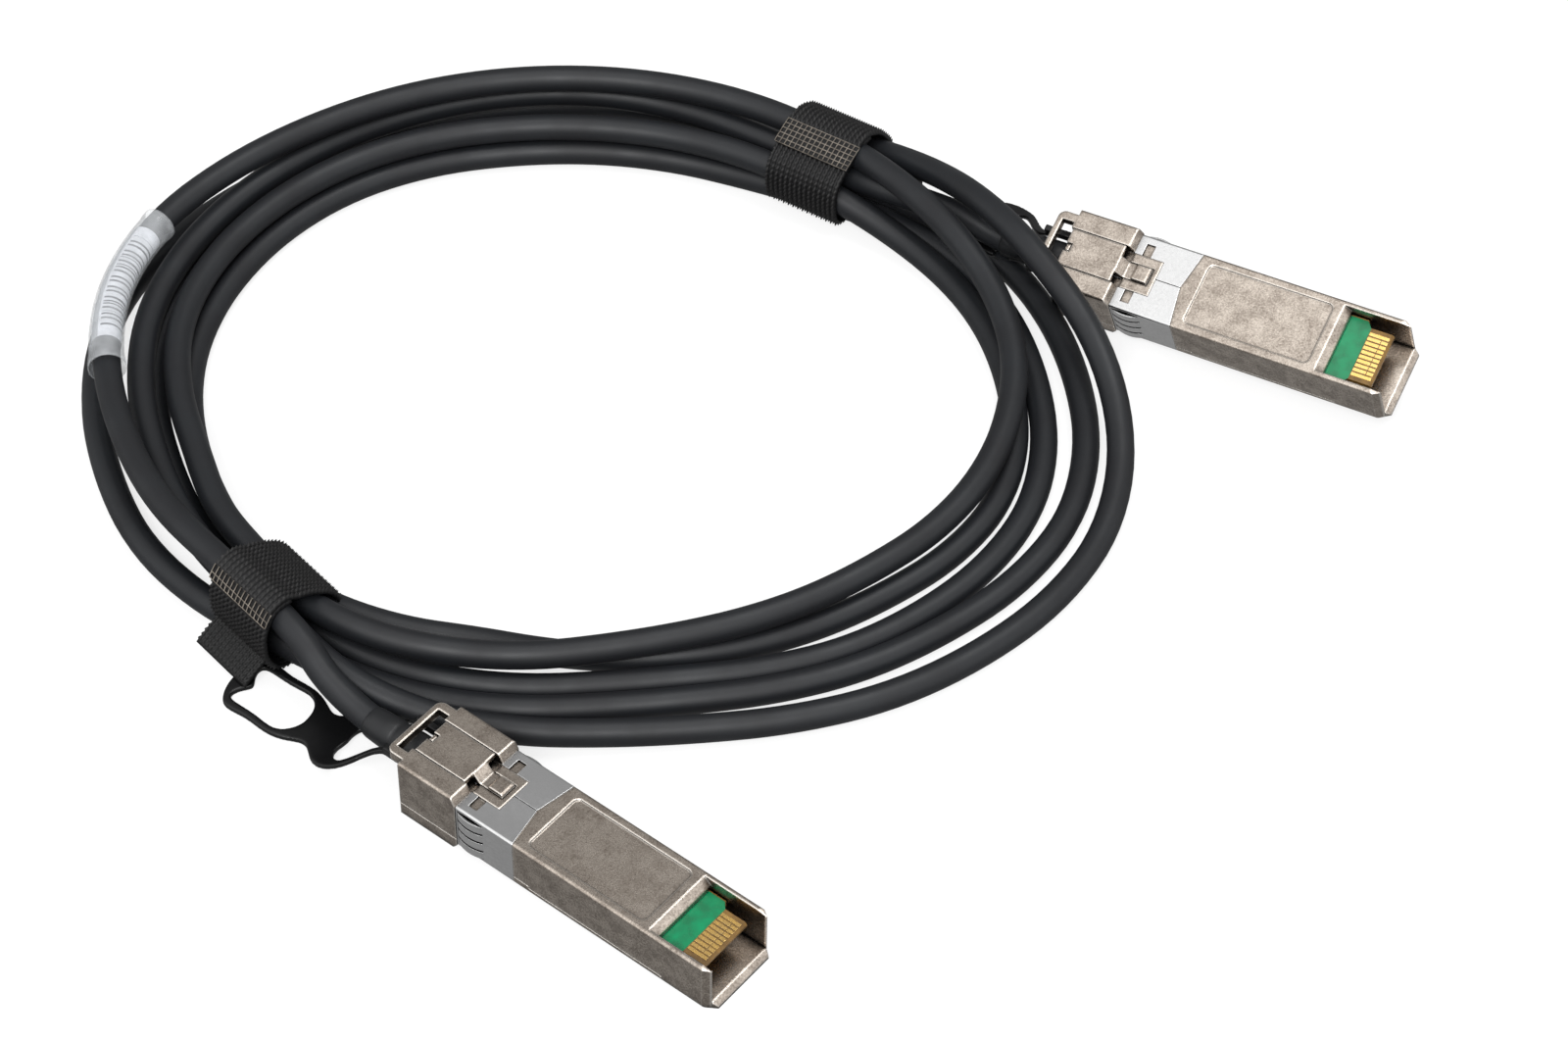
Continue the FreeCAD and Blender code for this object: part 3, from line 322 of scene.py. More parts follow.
@dataclass(frozen=True)
class Moulding:
    """A moulded or extruded plastic: jacket, boot, pull tab, board, paper.

    A matte jacket scatters light widely and shows faint long clouds where it was handled. A soft tab is
    smoother and blacker. Grain is the skin of the die or the mould.
    """

    name: str
    light: str
    dark: str
    roughness: float
    cloud_mm: float
    grain_mm: float
    grain_depth_mm: float
    specular: float = 0.5
    sheen: float = 0.0
    metallic: float = 0.0

    def build(self) -> bpy.types.Material:
        """Make the material's nodes."""
        material, tree = new_material(self.name)
        place = add_node(tree, "ShaderNodeTexCoord").outputs["Object"]
        clouds = add_node(tree, "ShaderNodeTexNoise", {
            "Vector": place, "Scale": 1 / (self.cloud_mm * MM), "Detail": 4.0})
        grain = add_node(tree, "ShaderNodeTexNoise", {
            "Vector": place, "Scale": 1 / (self.grain_mm * MM), "Detail": 2.0})
        tone = add_node(tree, "ShaderNodeMapRange", {
            "Value": clouds.outputs["Fac"], "From Min": 0.35, "From Max": 0.65})
        base = add_node(tree, "ShaderNodeMix", {
            "Factor": tone.outputs[0], "A": linear(self.dark), "B": linear(self.light)}, data_type="RGBA")
        satin = add_node(tree, "ShaderNodeMapRange", {
            "Value": tone.outputs[0], "To Min": self.roughness + 0.05, "To Max": self.roughness - 0.05})
        bump = add_node(tree, "ShaderNodeBump", {
            "Height": grain.outputs["Fac"], "Strength": 0.4, "Distance": self.grain_depth_mm * MM})
        shader = add_node(tree, "ShaderNodeBsdfPrincipled", {
            "Base Color": base.outputs["Result"], "Roughness": satin.outputs[0],
            "Metallic": self.metallic, "Specular IOR Level": self.specular, "Sheen Weight": self.sheen,
            "Normal": bump.outputs[0]})
        add_node(tree, "ShaderNodeOutputMaterial", {"Surface": shader.outputs[0]})
        return material


@dataclass(frozen=True)
class HookAndLoop:
    """Nylon hook-and-loop tape: black, its cord tops lighter and the valleys between them darker as painted
    light and shade, broken by a fine fuzz.
    """

    name: str
    crest: str
    valley: str
    fibre_mm: float

    def build(self) -> bpy.types.Material:
        """Make the material's nodes."""
        material, tree = new_material(self.name)
        place = add_node(tree, "ShaderNodeTexCoord").outputs["Object"]
        fuzz = add_node(tree, "ShaderNodeTexNoise", {
            "Vector": place, "Scale": 1 / (self.fibre_mm * MM), "Detail": 3.0})
        cord = add_node(tree, "ShaderNodeAttribute", attribute_name="cord")
        # Painted light and shade: colour runs from the valley colour up to the crest colour with the height
        # of the cord, times fuzz noise.
        tone = add_node(tree, "ShaderNodeMath", {
            0: cord.outputs["Fac"], 1: fuzz.outputs["Fac"]}, operation="MULTIPLY")
        tone = add_node(tree, "ShaderNodeMapRange", {
            "Value": tone.outputs[0], "From Min": 0.15, "From Max": 0.5})
        base = add_node(tree, "ShaderNodeMix", {
            "Factor": tone.outputs[0], "A": linear(self.valley), "B": linear(self.crest)},
            data_type="RGBA")
        bump = add_node(tree, "ShaderNodeBump", {
            "Height": fuzz.outputs["Fac"], "Strength": 0.7, "Distance": 0.08 * MM})
        shader = add_node(tree, "ShaderNodeBsdfPrincipled", {
            "Base Color": base.outputs["Result"], "Roughness": 0.55, "Specular IOR Level": 0.3,
            "Normal": bump.outputs[0]})
        add_node(tree, "ShaderNodeOutputMaterial", {"Surface": shader.outputs[0]})
        return material


@dataclass(frozen=True)
class ShrinkFilm:
    """Clear heat-shrink sleeve: thin glossy film that lets the jacket show through, greyed by its haze."""

    name: str
    tint: str
    haze: float

    def build(self) -> bpy.types.Material:
        """Make the material's nodes."""
        material, tree = new_material(self.name)
        place = add_node(tree, "ShaderNodeTexCoord").outputs["Object"]
        wrinkle = add_node(tree, "ShaderNodeTexNoise", {
            "Vector": place, "Scale": 1 / (2.2 * MM), "Detail": 3.0})
        bump = add_node(tree, "ShaderNodeBump", {
            "Height": wrinkle.outputs["Fac"], "Strength": 0.35, "Distance": 0.15 * MM})
        haze = add_node(tree, "ShaderNodeMapRange", {
            "Value": wrinkle.outputs["Fac"], "From Min": 0.3, "From Max": 0.7, "To Min": self.haze - 0.08,
            "To Max": self.haze + 0.1})
        shader = add_node(tree, "ShaderNodeBsdfPrincipled", {
            "Base Color": linear(self.tint), "Roughness": 0.16, "Alpha": haze.outputs[0],
            "Normal": bump.outputs[0]})
        add_node(tree, "ShaderNodeOutputMaterial", {"Surface": shader.outputs[0]})
        return material


@dataclass(frozen=True)
class BarLabel:
    """White polyester label wrapped round the cable, with generic thin bars printed across it."""

    name: str
    paper: str
    ink: str
    bars: float

    def build(self) -> bpy.types.Material:
        """Make the material's nodes, on the label's own UV map."""
        material, tree = new_material(self.name)
        uv = add_node(tree, "ShaderNodeSeparateXYZ", {
            0: add_node(tree, "ShaderNodeTexCoord").outputs["UV"]})
        waves = []
        for rate in (self.bars, self.bars * 0.64):
            turn = add_node(tree, "ShaderNodeMath", {
                0: uv.outputs["X"], 1: rate * 2 * math.pi}, operation="MULTIPLY")
            waves.append(add_node(tree, "ShaderNodeMath", {
                0: turn.outputs[0]}, operation="SINE").outputs[0])
        both = add_node(tree, "ShaderNodeMath", {0: waves[0], 1: waves[1]}, operation="ADD")
        inked = add_node(tree, "ShaderNodeMath", {0: both.outputs[0], 1: 0.3}, operation="GREATER_THAN")
        middle = add_node(tree, "ShaderNodeMath", {
            0: uv.outputs["X"], 1: 0.5, 2: 0.41}, operation="COMPARE")
        around = add_node(tree, "ShaderNodeMath", {0: uv.outputs["Y"], 1: 0.1}, operation="ADD")
        around = add_node(tree, "ShaderNodeMath", {0: around.outputs[0]}, operation="FRACT")
        printed = add_node(tree, "ShaderNodeMath", {0: around.outputs[0], 1: 0.4}, operation="LESS_THAN")
        face = add_node(tree, "ShaderNodeMath", {0: around.outputs[0], 1: 0.43}, operation="LESS_THAN")
        inside = add_node(tree, "ShaderNodeMath", {
            0: middle.outputs[0], 1: printed.outputs[0]}, operation="MULTIPLY")
        shown = add_node(tree, "ShaderNodeMath", {
            0: inside.outputs[0], 1: inked.outputs[0]}, operation="MULTIPLY")
        # Painted shade: the white paper is greyed to #b4b7bb outside a band over its top and one side.
        paper = add_node(tree, "ShaderNodeMix", {
            "Factor": face.outputs[0], "A": linear("#b4b7bb"), "B": linear(self.paper)}, data_type="RGBA")
        base = add_node(tree, "ShaderNodeMix", {
            "Factor": shown.outputs[0], "A": paper.outputs["Result"], "B": linear(self.ink)},
            data_type="RGBA")
        shader = add_node(tree, "ShaderNodeBsdfPrincipled", {
            "Base Color": base.outputs["Result"], "Roughness": 0.4})
        add_node(tree, "ShaderNodeOutputMaterial", {"Surface": shader.outputs[0]})
        return material


class Finishes:
    """Every finish of the part, each built once."""

    def __init__(self) -> None:
        """Build the materials."""
        self.die_cast = Metal("nickel_plated_zinc_casting", "#d6cbbf", "#675c53", "#fff8ef", 0.27, 2.4, 0.3,
                              0.006, 0.45).build()
        self.spring_steel = Metal("stamped_stainless_steel", "#dcdcdc", "#cacaca", "#ffffff", 0.2, 6.0, 0.5,
                                  0.001, 0.12).build()
        self.ferrule_metal = Metal("drawn_brass_nickelled", "#c9c5bd", "#a8a39a", "#efe9df", 0.3, 3.0, 0.3,
                                   0.01, 0.12).build()
        self.contact_gold = Metal("gold_flash_on_nickel", "#f6d08a", "#e6b860", "#ffe6ae", 0.24, 1.2, 0.2,
                                  0.001, 0.04).build()
        self.cable_jacket = Moulding("matte_extruded_pvc_jacket", "#191b1e", "#131417", 0.5, 9.0, 0.25,
                                     0.012, specular=0.32).build()
        self.boot = Moulding("moulded_pvc_boot", "#151618", "#101113", 0.46, 6.0, 0.25, 0.012,
                             specular=0.35).build()
        self.soft_tab = Moulding("moulded_tpe_tab", "#0c0c0d", "#080809", 0.34, 5.0, 0.3, 0.01,
                                 specular=0.35).build()
        self.board = Moulding("fr4_laminate_edge", "#7a5a22", "#5c4216", 0.45, 1.5, 0.12, 0.01).build()
        self.board_mask = Moulding("green_solder_mask", "#0b8556", "#076a42", 0.25, 2.2, 0.3, 0.004).build()
        self.wire = Moulding("foamed_wire_insulation", "#d9dadb", "#b9bcc0", 0.5, 3.0, 0.2, 0.01).build()
        self.tape = HookAndLoop("woven_nylon_hook_and_loop", "#242323", "#020203", 0.2).build()
        # A darker copy of the tape's finish: painted shade for the tail, which lies in the strap's shadow
        # near the floor.
        self.tape_in_shade = HookAndLoop("woven_nylon_tape_in_shade", "#0c0c0c", "#010101", 0.2).build()
        self.tape_thread = Moulding("grey_nylon_thread", "#827a70", "#5f5850", 0.55, 1.2, 0.15, 0.03).build()
        self.film = ShrinkFilm("clear_heat_shrink", "#c9cccf", 0.26).build()
        self.label = BarLabel("polyester_bar_label", "#e9ebf1", "#33363d", 33.0).build()


# ---------------------------------------------------------------- plug ends
@dataclass(frozen=True)
class PlugEnd:
    """One plug end: where it lies and the pieces that are added to its solids."""

    side: Side
    tip: tuple[float, float, float]
    yaw: float
    pitch: float
    roll: float
    board_top: float = 6.25
    boot_front: float = 57.3
    boot_rear: float = 68.5
    cable_axis: float = 4.3
    cable_end: float = 63.5

    def frame(self) -> Matrix:
        """Return the plug's own frame, x from its tip to the cable, in metres of the row's frame."""
        turn = Euler([math.radians(a) for a in (self.roll, self.pitch, self.yaw)], "XYZ").to_matrix().to_4x4()
        return Matrix.Translation((Vector(self.tip) + HOME) * MM) @ turn

    def point(self, x: float, y: float, z: float) -> Vector:
        """Return the place of a point of the plug's own frame, given in mm."""
        return self.frame() @ (Vector((x, y, z)) * MM)

    def node(self, piece: str) -> str:
        """Return the name of one of this plug's solids."""
        return f"{piece}_{self.side.value}"

    def dress_solids(self, nodes: dict, finishes: Finishes) -> None:
        """Give the plug's solids their finishes.

        Args:
            nodes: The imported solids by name.
            finishes: The part's finishes.
        """
        for piece, finish in (("base_shell", finishes.die_cast), ("cover_shell", finishes.die_cast),
                              ("latch", finishes.die_cast), ("release_slider", finishes.die_cast),
                              ("emi_collar", finishes.spring_steel), ("latch_pin", finishes.spring_steel),
                              ("latch_spring", finishes.spring_steel),
                              ("crimp_ferrule", finishes.ferrule_metal),
                              ("circuit_board", finishes.board), ("contact_pads", finishes.contact_gold),
                              ("wire_pairs", finishes.wire)):
            dress(nodes[self.node(piece)], finish)

    def solder_mask(self, finishes: Finishes) -> bpy.types.Object:
        """Model the green mask on the board's top, with its two notched front corners."""
        thickness, front, rear, half = 0.05, 7.0, 44.5, 5.55
        deselect_all()
        bpy.ops.mesh.primitive_cube_add(size=1)
        mask = started(self.node("solder_mask"))
        mask.scale = ((rear - front) * MM, 2 * half * MM, thickness * MM)
        mask.location = Vector(((front + rear) / 2, 0, self.board_top + thickness / 2)) * MM
        bpy.ops.object.transform_apply(location=True, rotation=True, scale=True)
        for x, y in ((front + 0.9, None), (front + 1.6, None), (None, half - 1.0), (None, 1.0 - half)):
            bpy.ops.object.mode_set(mode="EDIT")
            bpy.ops.mesh.select_all(action="SELECT")
            at, normal = ((x * MM, 0, 0), (1, 0, 0)) if y is None else ((0, y * MM, 0), (0, 1, 0))
            bpy.ops.mesh.bisect(plane_co=at, plane_no=normal)
            bpy.ops.object.mode_set(mode="OBJECT")
        for vertex in mask.data.vertices:
            outer = abs(vertex.co.y) > (half - 0.5) * MM
            if vertex.co.x < (front + 0.5) * MM and outer:
                vertex.co.x = (front + 0.9) * MM
        finish_with(mask, "BEVEL", width=0.02 * MM, segments=1)
        seat(mask, self.frame())
        dress(mask, finishes.board_mask)
        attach(mask, ROOT)
        return mask

    def boot(self, finishes: Finishes) -> bpy.types.Object:
        """Model the tapered boot over the crimp, with two shallow grip grooves and a rounded rear lip."""
        profile = [(0.0, 2.72), (0.12, 2.75), (0.28, 2.74), (0.31, 2.62), (0.34, 2.62), (0.37, 2.72),
                   (0.48, 2.68), (0.51, 2.56), (0.54, 2.56), (0.57, 2.66), (0.84, 2.5), (0.93, 2.44),
                   (0.98, 2.32), (1.0, 2.2)]
        length = self.boot_rear - self.boot_front

        def skin(u: float, v: float) -> Vector:
            """Place a point of the boot's skin."""
            share, radius = between(profile, u * (len(profile) - 1))
            x = self.boot_front + length * share
            turn = 2 * math.pi * v
            return Vector((x, radius * math.cos(turn), self.cable_axis + radius * math.sin(turn))) * MM

        boot = shaped_grid(self.node("strain_relief"), 2 * (len(profile) - 1), 48, skin, closed=True)
        bpy.ops.object.mode_set(mode="EDIT")
        bpy.ops.mesh.select_all(action="DESELECT")
        bpy.ops.mesh.select_non_manifold()
        bpy.ops.mesh.edge_face_add()
        bpy.ops.mesh.select_all(action="SELECT")
        bpy.ops.mesh.normals_make_consistent(inside=False)
        bpy.ops.object.mode_set(mode="OBJECT")
        seat(boot, self.frame())
        dress(boot, finishes.boot)
        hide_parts(self.node("cable_boot"))
        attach(boot, ROOT)
        return boot

    def pull_tab(self, nodes: dict, finishes: Finishes) -> bpy.types.Object:
        """Model the soft moulded tab: the solid's own outline, with every edge rounded over."""
        solid = nodes[self.node("pull_tab")]
        tab = solid.copy()
        tab.data = solid.data.copy()
        tab.parent = None
        tab.matrix_world = Matrix.Identity(4)
        tab.name = self.node("moulded_tab")
        bpy.context.scene.collection.objects.link(tab)
        select_only(tab)
        bpy.ops.object.mode_set(mode="EDIT")
        bpy.ops.mesh.select_all(action="SELECT")
        bpy.ops.mesh.remove_doubles(threshold=1e-6)
        bpy.ops.mesh.normals_make_consistent(inside=False)
        bpy.ops.object.mode_set(mode="OBJECT")
        finish_with(tab, "REMESH", mode="VOXEL", voxel_size=0.16 * MM)
        finish_with(tab, "SMOOTH", factor=0.5, iterations=7)
        bpy.ops.object.shade_smooth()
        dress(tab, finishes.soft_tab)
        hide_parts(self.node("pull_tab"))
        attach(tab, f"release_{self.side.value}")
        return tab


# ---------------------------------------------------------------- cable
@dataclass(frozen=True)
class Cable:
    """The round cable: one smooth line from one boot to the other, coiled in five and a half turns.

    Each pass lists angle, radius and height of the cable's axis about the coil's centre, in degrees and
    mm. A left pass runs from the lower strap to the upper one and a right pass from the upper to the lower.
    """

    radius: float = 2.15
    step: float = 12.0
    lift_centres: tuple[float, float] = (221.1, 59.4)  # the second is past its strap, clear of a pull tab
    strap_lift: float = 0.9
    lift_spread: float = 4.0
    lift_ceiling: float = 5.0

    def passes(self) -> list[list[tuple[float, float, float]]]:
        """Return the eleven passes in the order in which the cable runs through them."""
        floor, second, top = (level.value for level in (Level.FLOOR, Level.SECOND, Level.TOP))
        return [
            [(213, 65.9, 11.3), (190, 71.8, 10.7), (160, 79.9, top), (130, 76.9, top), (95, 72.0, top),
             (62, 67.6, top)],
            [(53, 65.8, 11.3), (46, 65.0, 11.7), (35, 64.5, 11.5), (12, 64.7, 8.0), (-15, 59.5, second),
             (-45, 52.0, second), (-80, 48.9, second), (-112, 54.0, second), (-132, 58.9, 7.6)],
            [(218, 58.4, 7.2), (204, 60.4, 6.8), (190, 61.6, second), (160, 69.6, second),
             (130, 70.5, second), (95, 64.9, second), (60, 60.0, 7.0)],
            [(50, 61.2, 4.6), (35, 63.2, floor), (12, 63.7, floor), (-15, 62.4, floor), (-45, 54.2, floor),
             (-80, 48.3, floor), (-112, 47.6, floor), (-132, 54.3, 3.6)],
            [(190, 61.2, floor), (160, 67.3, floor), (130, 69.0, floor),
             (95, 63.7, floor), (60, 61.4, floor)],
            [(35, 66.9, floor), (12, 67.7, floor), (-15, 67.4, floor), (-45, 60.7, floor), (-80, 53.0, floor),
             (-112, 56.0, floor), (-140, 60.4, floor)],
            [(190, 65.8, floor), (160, 73.5, floor), (130, 73.5, floor),
             (95, 69.6, floor), (60, 66.2, floor)],
            [(35, 72.4, floor), (12, 74.1, floor), (-15, 73.6, floor), (-45, 64.9, floor), (-80, 57.2, floor),
             (-112, 60.3, floor), (-140, 65.0, floor)],
            [(207, 70.4, floor), (190, 75.1, floor), (160, 82.1, floor), (130, 78.9, floor),
             (95, 75.5, floor), (62, 71.2, 2.6)],
            [(54, 72.3, 7.9), (47, 72.2, 9.1), (42, 71.4, 11.0), (35, 70.6, 13.6), (26, 71.2, 14.8),
             (19, 72.4, 14.2), (8, 77.0, 9.6), (-5, 79.7, 4.6), (-20, 78.8, floor), (-45, 71.9, floor),
             (-80, 62.6, floor), (-112, 64.4, 4.0), (-126, 64.8, 6.2), (-137, 63.4, 7.3)],
            [(218, 63.6, 6.8), (190, 68.0, second), (160, 74.9, second), (130, 76.4, second),
             (95, 73.5, second), (68, 66.4, 6.6)],
        ]

    def coil_points(self) -> list[Vector]:
        """Return evenly turned points of all passes."""
        table = []
        turns = 0
        last = 360.0
        for one_pass in self.passes():
            for angle, radius, height in one_pass:
                while angle - 360 * turns > last:
                    turns += 1
                last = angle - 360 * turns
                table.append((last, radius, height))
        points = []
        count = round((table[0][0] - table[-1][0]) / self.step)
        for k in range(count + 1):
            angle = table[0][0] + (table[-1][0] - table[0][0]) * k / count
            radius, height = catmull(table, angle)
            height = max(height, Level.FLOOR.value)
            lift = 0.0
            for centre in self.lift_centres:
                off = (angle - centre + 180) % 360 - 180
                if height < self.lift_ceiling:
                    lift += self.strap_lift * math.exp(-(off / self.lift_spread) ** 2)
            points.append(about_coil(angle, radius, height + lift))
        return points

    def lay(self, first: PlugEnd, last: PlugEnd) -> list[Vector]:
        """Return the control points of the whole route, from inside one boot to inside the other.

        Each is drawn out of its bend by what the smooth line cuts inside it.

        Args:
            first: The plug end that the cable starts in.
            last: The plug end that it runs to.
        """
        lead_a = [first.point(first.cable_end, 0, first.cable_axis),
                  first.point(first.boot_rear, 0, first.cable_axis)]
        lead_a += [(Vector(p) + HOME) * MM for p in ((-65.4, -38.9, 7.8), (-69.4, -33.5, 10.1),
                                                     (-75.0, -27.0, 11.3))]
        lead_b = [(Vector(p) + HOME) * MM for p in ((12.9, 69.0, 6.9), (22.3, 63.8, 7.3), (28.8, 59.3, 7.9))]
        lead_b += [last.point(last.boot_rear, 0, last.cable_axis),
                   last.point(last.cable_end, 0, last.cable_axis)]
        route = lead_a + self.coil_points() + lead_b
        drawn_out = [here - (before - 2 * here + after) / 8 for before, here, after
                     in zip(route, route[1:], route[2:])]
        return [route[0], *drawn_out, route[-1]]

    def build(self, first: PlugEnd, last: PlugEnd, finishes: Finishes) -> bpy.types.Object:
        """Model the cable as one smooth round line.

        Args:
            first: The plug end that the cable starts in.
            last: The plug end that it runs to.
            finishes: The part's finishes.

        Returns:
            The cable, as a curve.
        """
        points = self.lay(first, last)
        data = bpy.data.curves.new("twinax_cable", "CURVE")
        data.dimensions = "3D"
        spline = data.splines.new("NURBS")
        spline.points.add(len(points) - 1)
        for control, place in zip(spline.points, points):
            control.co = (*place, 1.0)
        spline.order_u = 3
        spline.use_endpoint_u = True
        spline.resolution_u = 6
        data.resolution_u = 6
        data.bevel_depth = self.radius * MM
        data.bevel_resolution = 6
        data.use_fill_caps = True
        cable = bpy.data.objects.new("twinax_cable", data)
        bpy.context.scene.collection.objects.link(cable)
        data.materials.append(finishes.cable_jacket)
        return cable


def centreline(cable: bpy.types.Object) -> list[Vector]:
    """Return the points of a curve's own line, read from its spline without its thickness."""
    bare = cable.copy()
    bare.data = cable.data.copy()
    bare.data.bevel_depth = 0.0
    bpy.context.scene.collection.objects.link(bare)
    depsgraph = bpy.context.evaluated_depsgraph_get()
    mesh = bpy.data.meshes.new_from_object(bare.evaluated_get(depsgraph))
    points = [vertex.co.copy() for vertex in mesh.vertices]
    bpy.data.meshes.remove(mesh)
    bpy.data.objects.remove(bare)
    return points


@dataclass(frozen=True)
class Wrap:
    """A tube that covers a stretch of the cable: the identification sleeve or its label."""

    name: str
    node: str
    slot: str
    start: float
    end: float
    profile: tuple[tuple[float, float], ...]
    sides: int = 40
    thickness: float = 0.0

    def build(self, line: list[Vector], material: bpy.types.Material) -> bpy.types.Object:
        """Model the wrap along the cable's line.

        Args:
            line: Points of the cable's line in metres.
            material: The wrap's finish.

        Returns:
            The wrap as a mesh whose UV map runs along it and round it.
        """
        lengths = [0.0]
        for before, after in zip(line, line[1:]):
            lengths.append(lengths[-1] + (after - before).length / MM)

        def at(distance: float) -> tuple[Vector, Vector]:
            """Return place and direction of the line at a distance along it."""
            k = 0
            while k < len(lengths) - 2 and lengths[k + 1] < distance:
                k += 1
            share = (distance - lengths[k]) / (lengths[k + 1] - lengths[k])
            ahead = line[min(k + 2, len(line) - 1)] - line[max(k - 1, 0)]
            return line[k].lerp(line[k + 1], share), ahead.normalized()

        def skin(u: float, v: float) -> Vector:
            """Place a point of the wrap's skin."""
            radius = catmull([(-a, r) for a, r in self.profile], -u)[0]
            middle, along = at(self.start + (self.end - self.start) * u)
            side = along.cross(Vector((0, 0, 1))).normalized()
            up = side.cross(along)
            turn = 2 * math.pi * v
            return middle + (side * math.cos(turn) + up * math.sin(turn)) * radius * MM

        wrap = shaped_grid(self.name, 60, self.sides, skin, closed=True)
        if self.thickness:
            finish_with(wrap, "SOLIDIFY", thickness=self.thickness * MM, offset=1.0)
        dress(wrap, material)
        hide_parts(self.node)
        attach(wrap, ROOT)
        return wrap


# ---------------------------------------------------------------- straps
@dataclass(frozen=True)
class CableStrap:
    """A corded hook-and-loop tape wound once round the bundle, its end pressed onto itself.

    The bundle's corners are radius and height about the coil's centre, in mm, in the tape's own
    direction. The tape's free end is bare of cords: its grey ground threads show there as an open weave.
    """

    side: Side
    angle: float
    bundle: tuple[tuple[float, float], ...]
    end: tuple[float, float]
    weave_rows: int
    overlap: float
    tail: tuple[tuple[float, float], ...] = ()
    tail_span: tuple[float, float] = (-5.6, 7.6)
    centre: float = 0.9
    lean: float = 0.0
    lean_radius: float = 67.5
    width: float = 13.6
    sheet: float = 0.35
    rib_height: float = 0.95
    rib_pitch: float = 0.88
    stitch: float = 0.8
    rounds: int = 280

    def outline(self) -> list[tuple[float, float]]:
        """Return the tape's rounded path about the bundle, evenly spaced."""
        corners = list(self.bundle)
        for _ in range(3):
            cut = []
            for here, after in zip(corners, corners[1:] + corners[:1]):
                cut.append((here[0] * 0.8 + after[0] * 0.2, here[1] * 0.8 + after[1] * 0.2))
                cut.append((here[0] * 0.2 + after[0] * 0.8, here[1] * 0.2 + after[1] * 0.8))
            corners = cut
        closed = corners + corners[:1]
        lengths = [0.0]
        for before, after in zip(closed, closed[1:]):
            lengths.append(lengths[-1] + math.dist(before, after))
        path = []
        k = 0
        for n in range(self.rounds):
            want = lengths[-1] * n / self.rounds
            while lengths[k + 1] < want:
                k += 1
            share = (want - lengths[k]) / (lengths[k + 1] - lengths[k])
            path.append(tuple(closed[k][c] + (closed[k + 1][c] - closed[k][c]) * share for c in (0, 1)))
        return path

    def frame(self) -> Matrix:
        """Return the strap's frame: x outwards from the coil, y along the cable, z up, in metres."""
        turn = Matrix.Rotation(math.radians(self.angle), 4, "Z")
        return Matrix.Translation((COIL_CENTRE + HOME) * MM) @ turn

    def tape_line(self) -> list[tuple[float, float, float, float]]:
        """Return the tape's line as radius, height and the outward direction at each point."""
        path = self.outline()
        count = len(path)
        middle = (sum(p[0] for p in path) / count, sum(p[1] for p in path) / count)
        last = min(range(count), key=lambda n: math.dist(path[n], self.end))
        total = round(count * (1 + self.overlap))
        line = []
        for n in range(total + 1):
            at = (last - total + n) % count
            here, before, after = path[at], path[at - 1], path[(at + 1) % count]
            along = (after[0] - before[0], after[1] - before[1])
            out = (along[1] / math.hypot(*along), -along[0] / math.hypot(*along))
            if out[0] * (here[0] - middle[0]) + out[1] * (here[1] - middle[1]) < 0:
                out = (-out[0], -out[1])
            layer = max(0.0, min(1.0, (n - count * 0.97) / (count * 0.05)))
            rise = (self.sheet + self.rib_height * 0.6) * layer
            line.append((here[0] + out[0] * rise, here[1] + out[1] * rise, *out))
        return line

    def tail_line(self) -> list[tuple[float, float, float, float]]:
        """Return the line of the tape's other end, which stands off the bundle near the floor."""
        line = []
        for before, after in zip(self.tail, self.tail[1:]):
            along = (after[0] - before[0], after[1] - before[1])
            size = math.hypot(*along)
            for k in range(8):
                line.append((before[0] + along[0] * k / 8, before[1] + along[1] * k / 8,
                             -along[1] / size, along[0] / size))
        return line

    def across(self, radius: float, share: float) -> float:
        """Return the place along the cable of a share of the tape's width, mm."""
        return self.centre + self.lean * (radius - self.lean_radius) + (share - 0.5) * self.width

    def corded(self, name: str, line: list[tuple[float, float, float, float]],
               place: Callable[[float, float], float], width: float, bare: float) -> bpy.types.Object:
        """Model a stretch of tape whose face is rows of stitched cords that run along it.

        Args:
            name: The piece's name.
            line: The tape's line.
            place: Gives the place along the cable for a radius and a share of the width.
            width: The tape's width, mm.
            bare: Length at its free end without cords, mm.
        """
        lengths = [0.0]
        for before, after in zip(line, line[1:]):
            lengths.append(lengths[-1] + math.dist(before[:2], after[:2]))
        cords = round(width / self.rib_pitch)
        crest = (0.0, 0.4, 1.0, 0.4)
        marks = list(zip(lengths))
        tops = []

        def face(u: float, v: float) -> Vector:
            """Place a point of the tape's face."""
            at = v * (len(line) - 1)
            r, z, out_r, out_z = between(line, at)
            distance, = between(marks, at)
            left = lengths[-1] - distance
            column = round(u * cords * len(crest))
            lean = (column % len(crest)) / len(crest)
            stitch = 0.76 + 0.24 * math.cos(2 * math.pi * (distance / self.stitch + 0.7 * lean))
            rib = crest[column % len(crest)] * stitch * max(0.0, min(1.0, (left - bare) / 0.4))
            tops.append(rib)
            height = self.sheet + self.rib_height * rib
            return Vector((r + out_r * height, place(r, u), max(z + out_z * height, 0.06))) * MM

        tape = shaped_grid(name, cords * len(crest), round(lengths[-1] / self.stitch * 4), face)
        # Cord heights, which also drive the painted light and shade in the tape's colour.
        tape.data.attributes.new("cord", "FLOAT", "POINT").data.foreach_set("value", tops)
        if tape.data.polygons[0].normal.dot(Vector((line[0][2], 0, line[0][3]))) < 0:
            tape.data.flip_normals()
        finish_with(tape, "SOLIDIFY", thickness=self.sheet * MM, offset=-1.0)
        seat(tape, self.frame())
        return tape

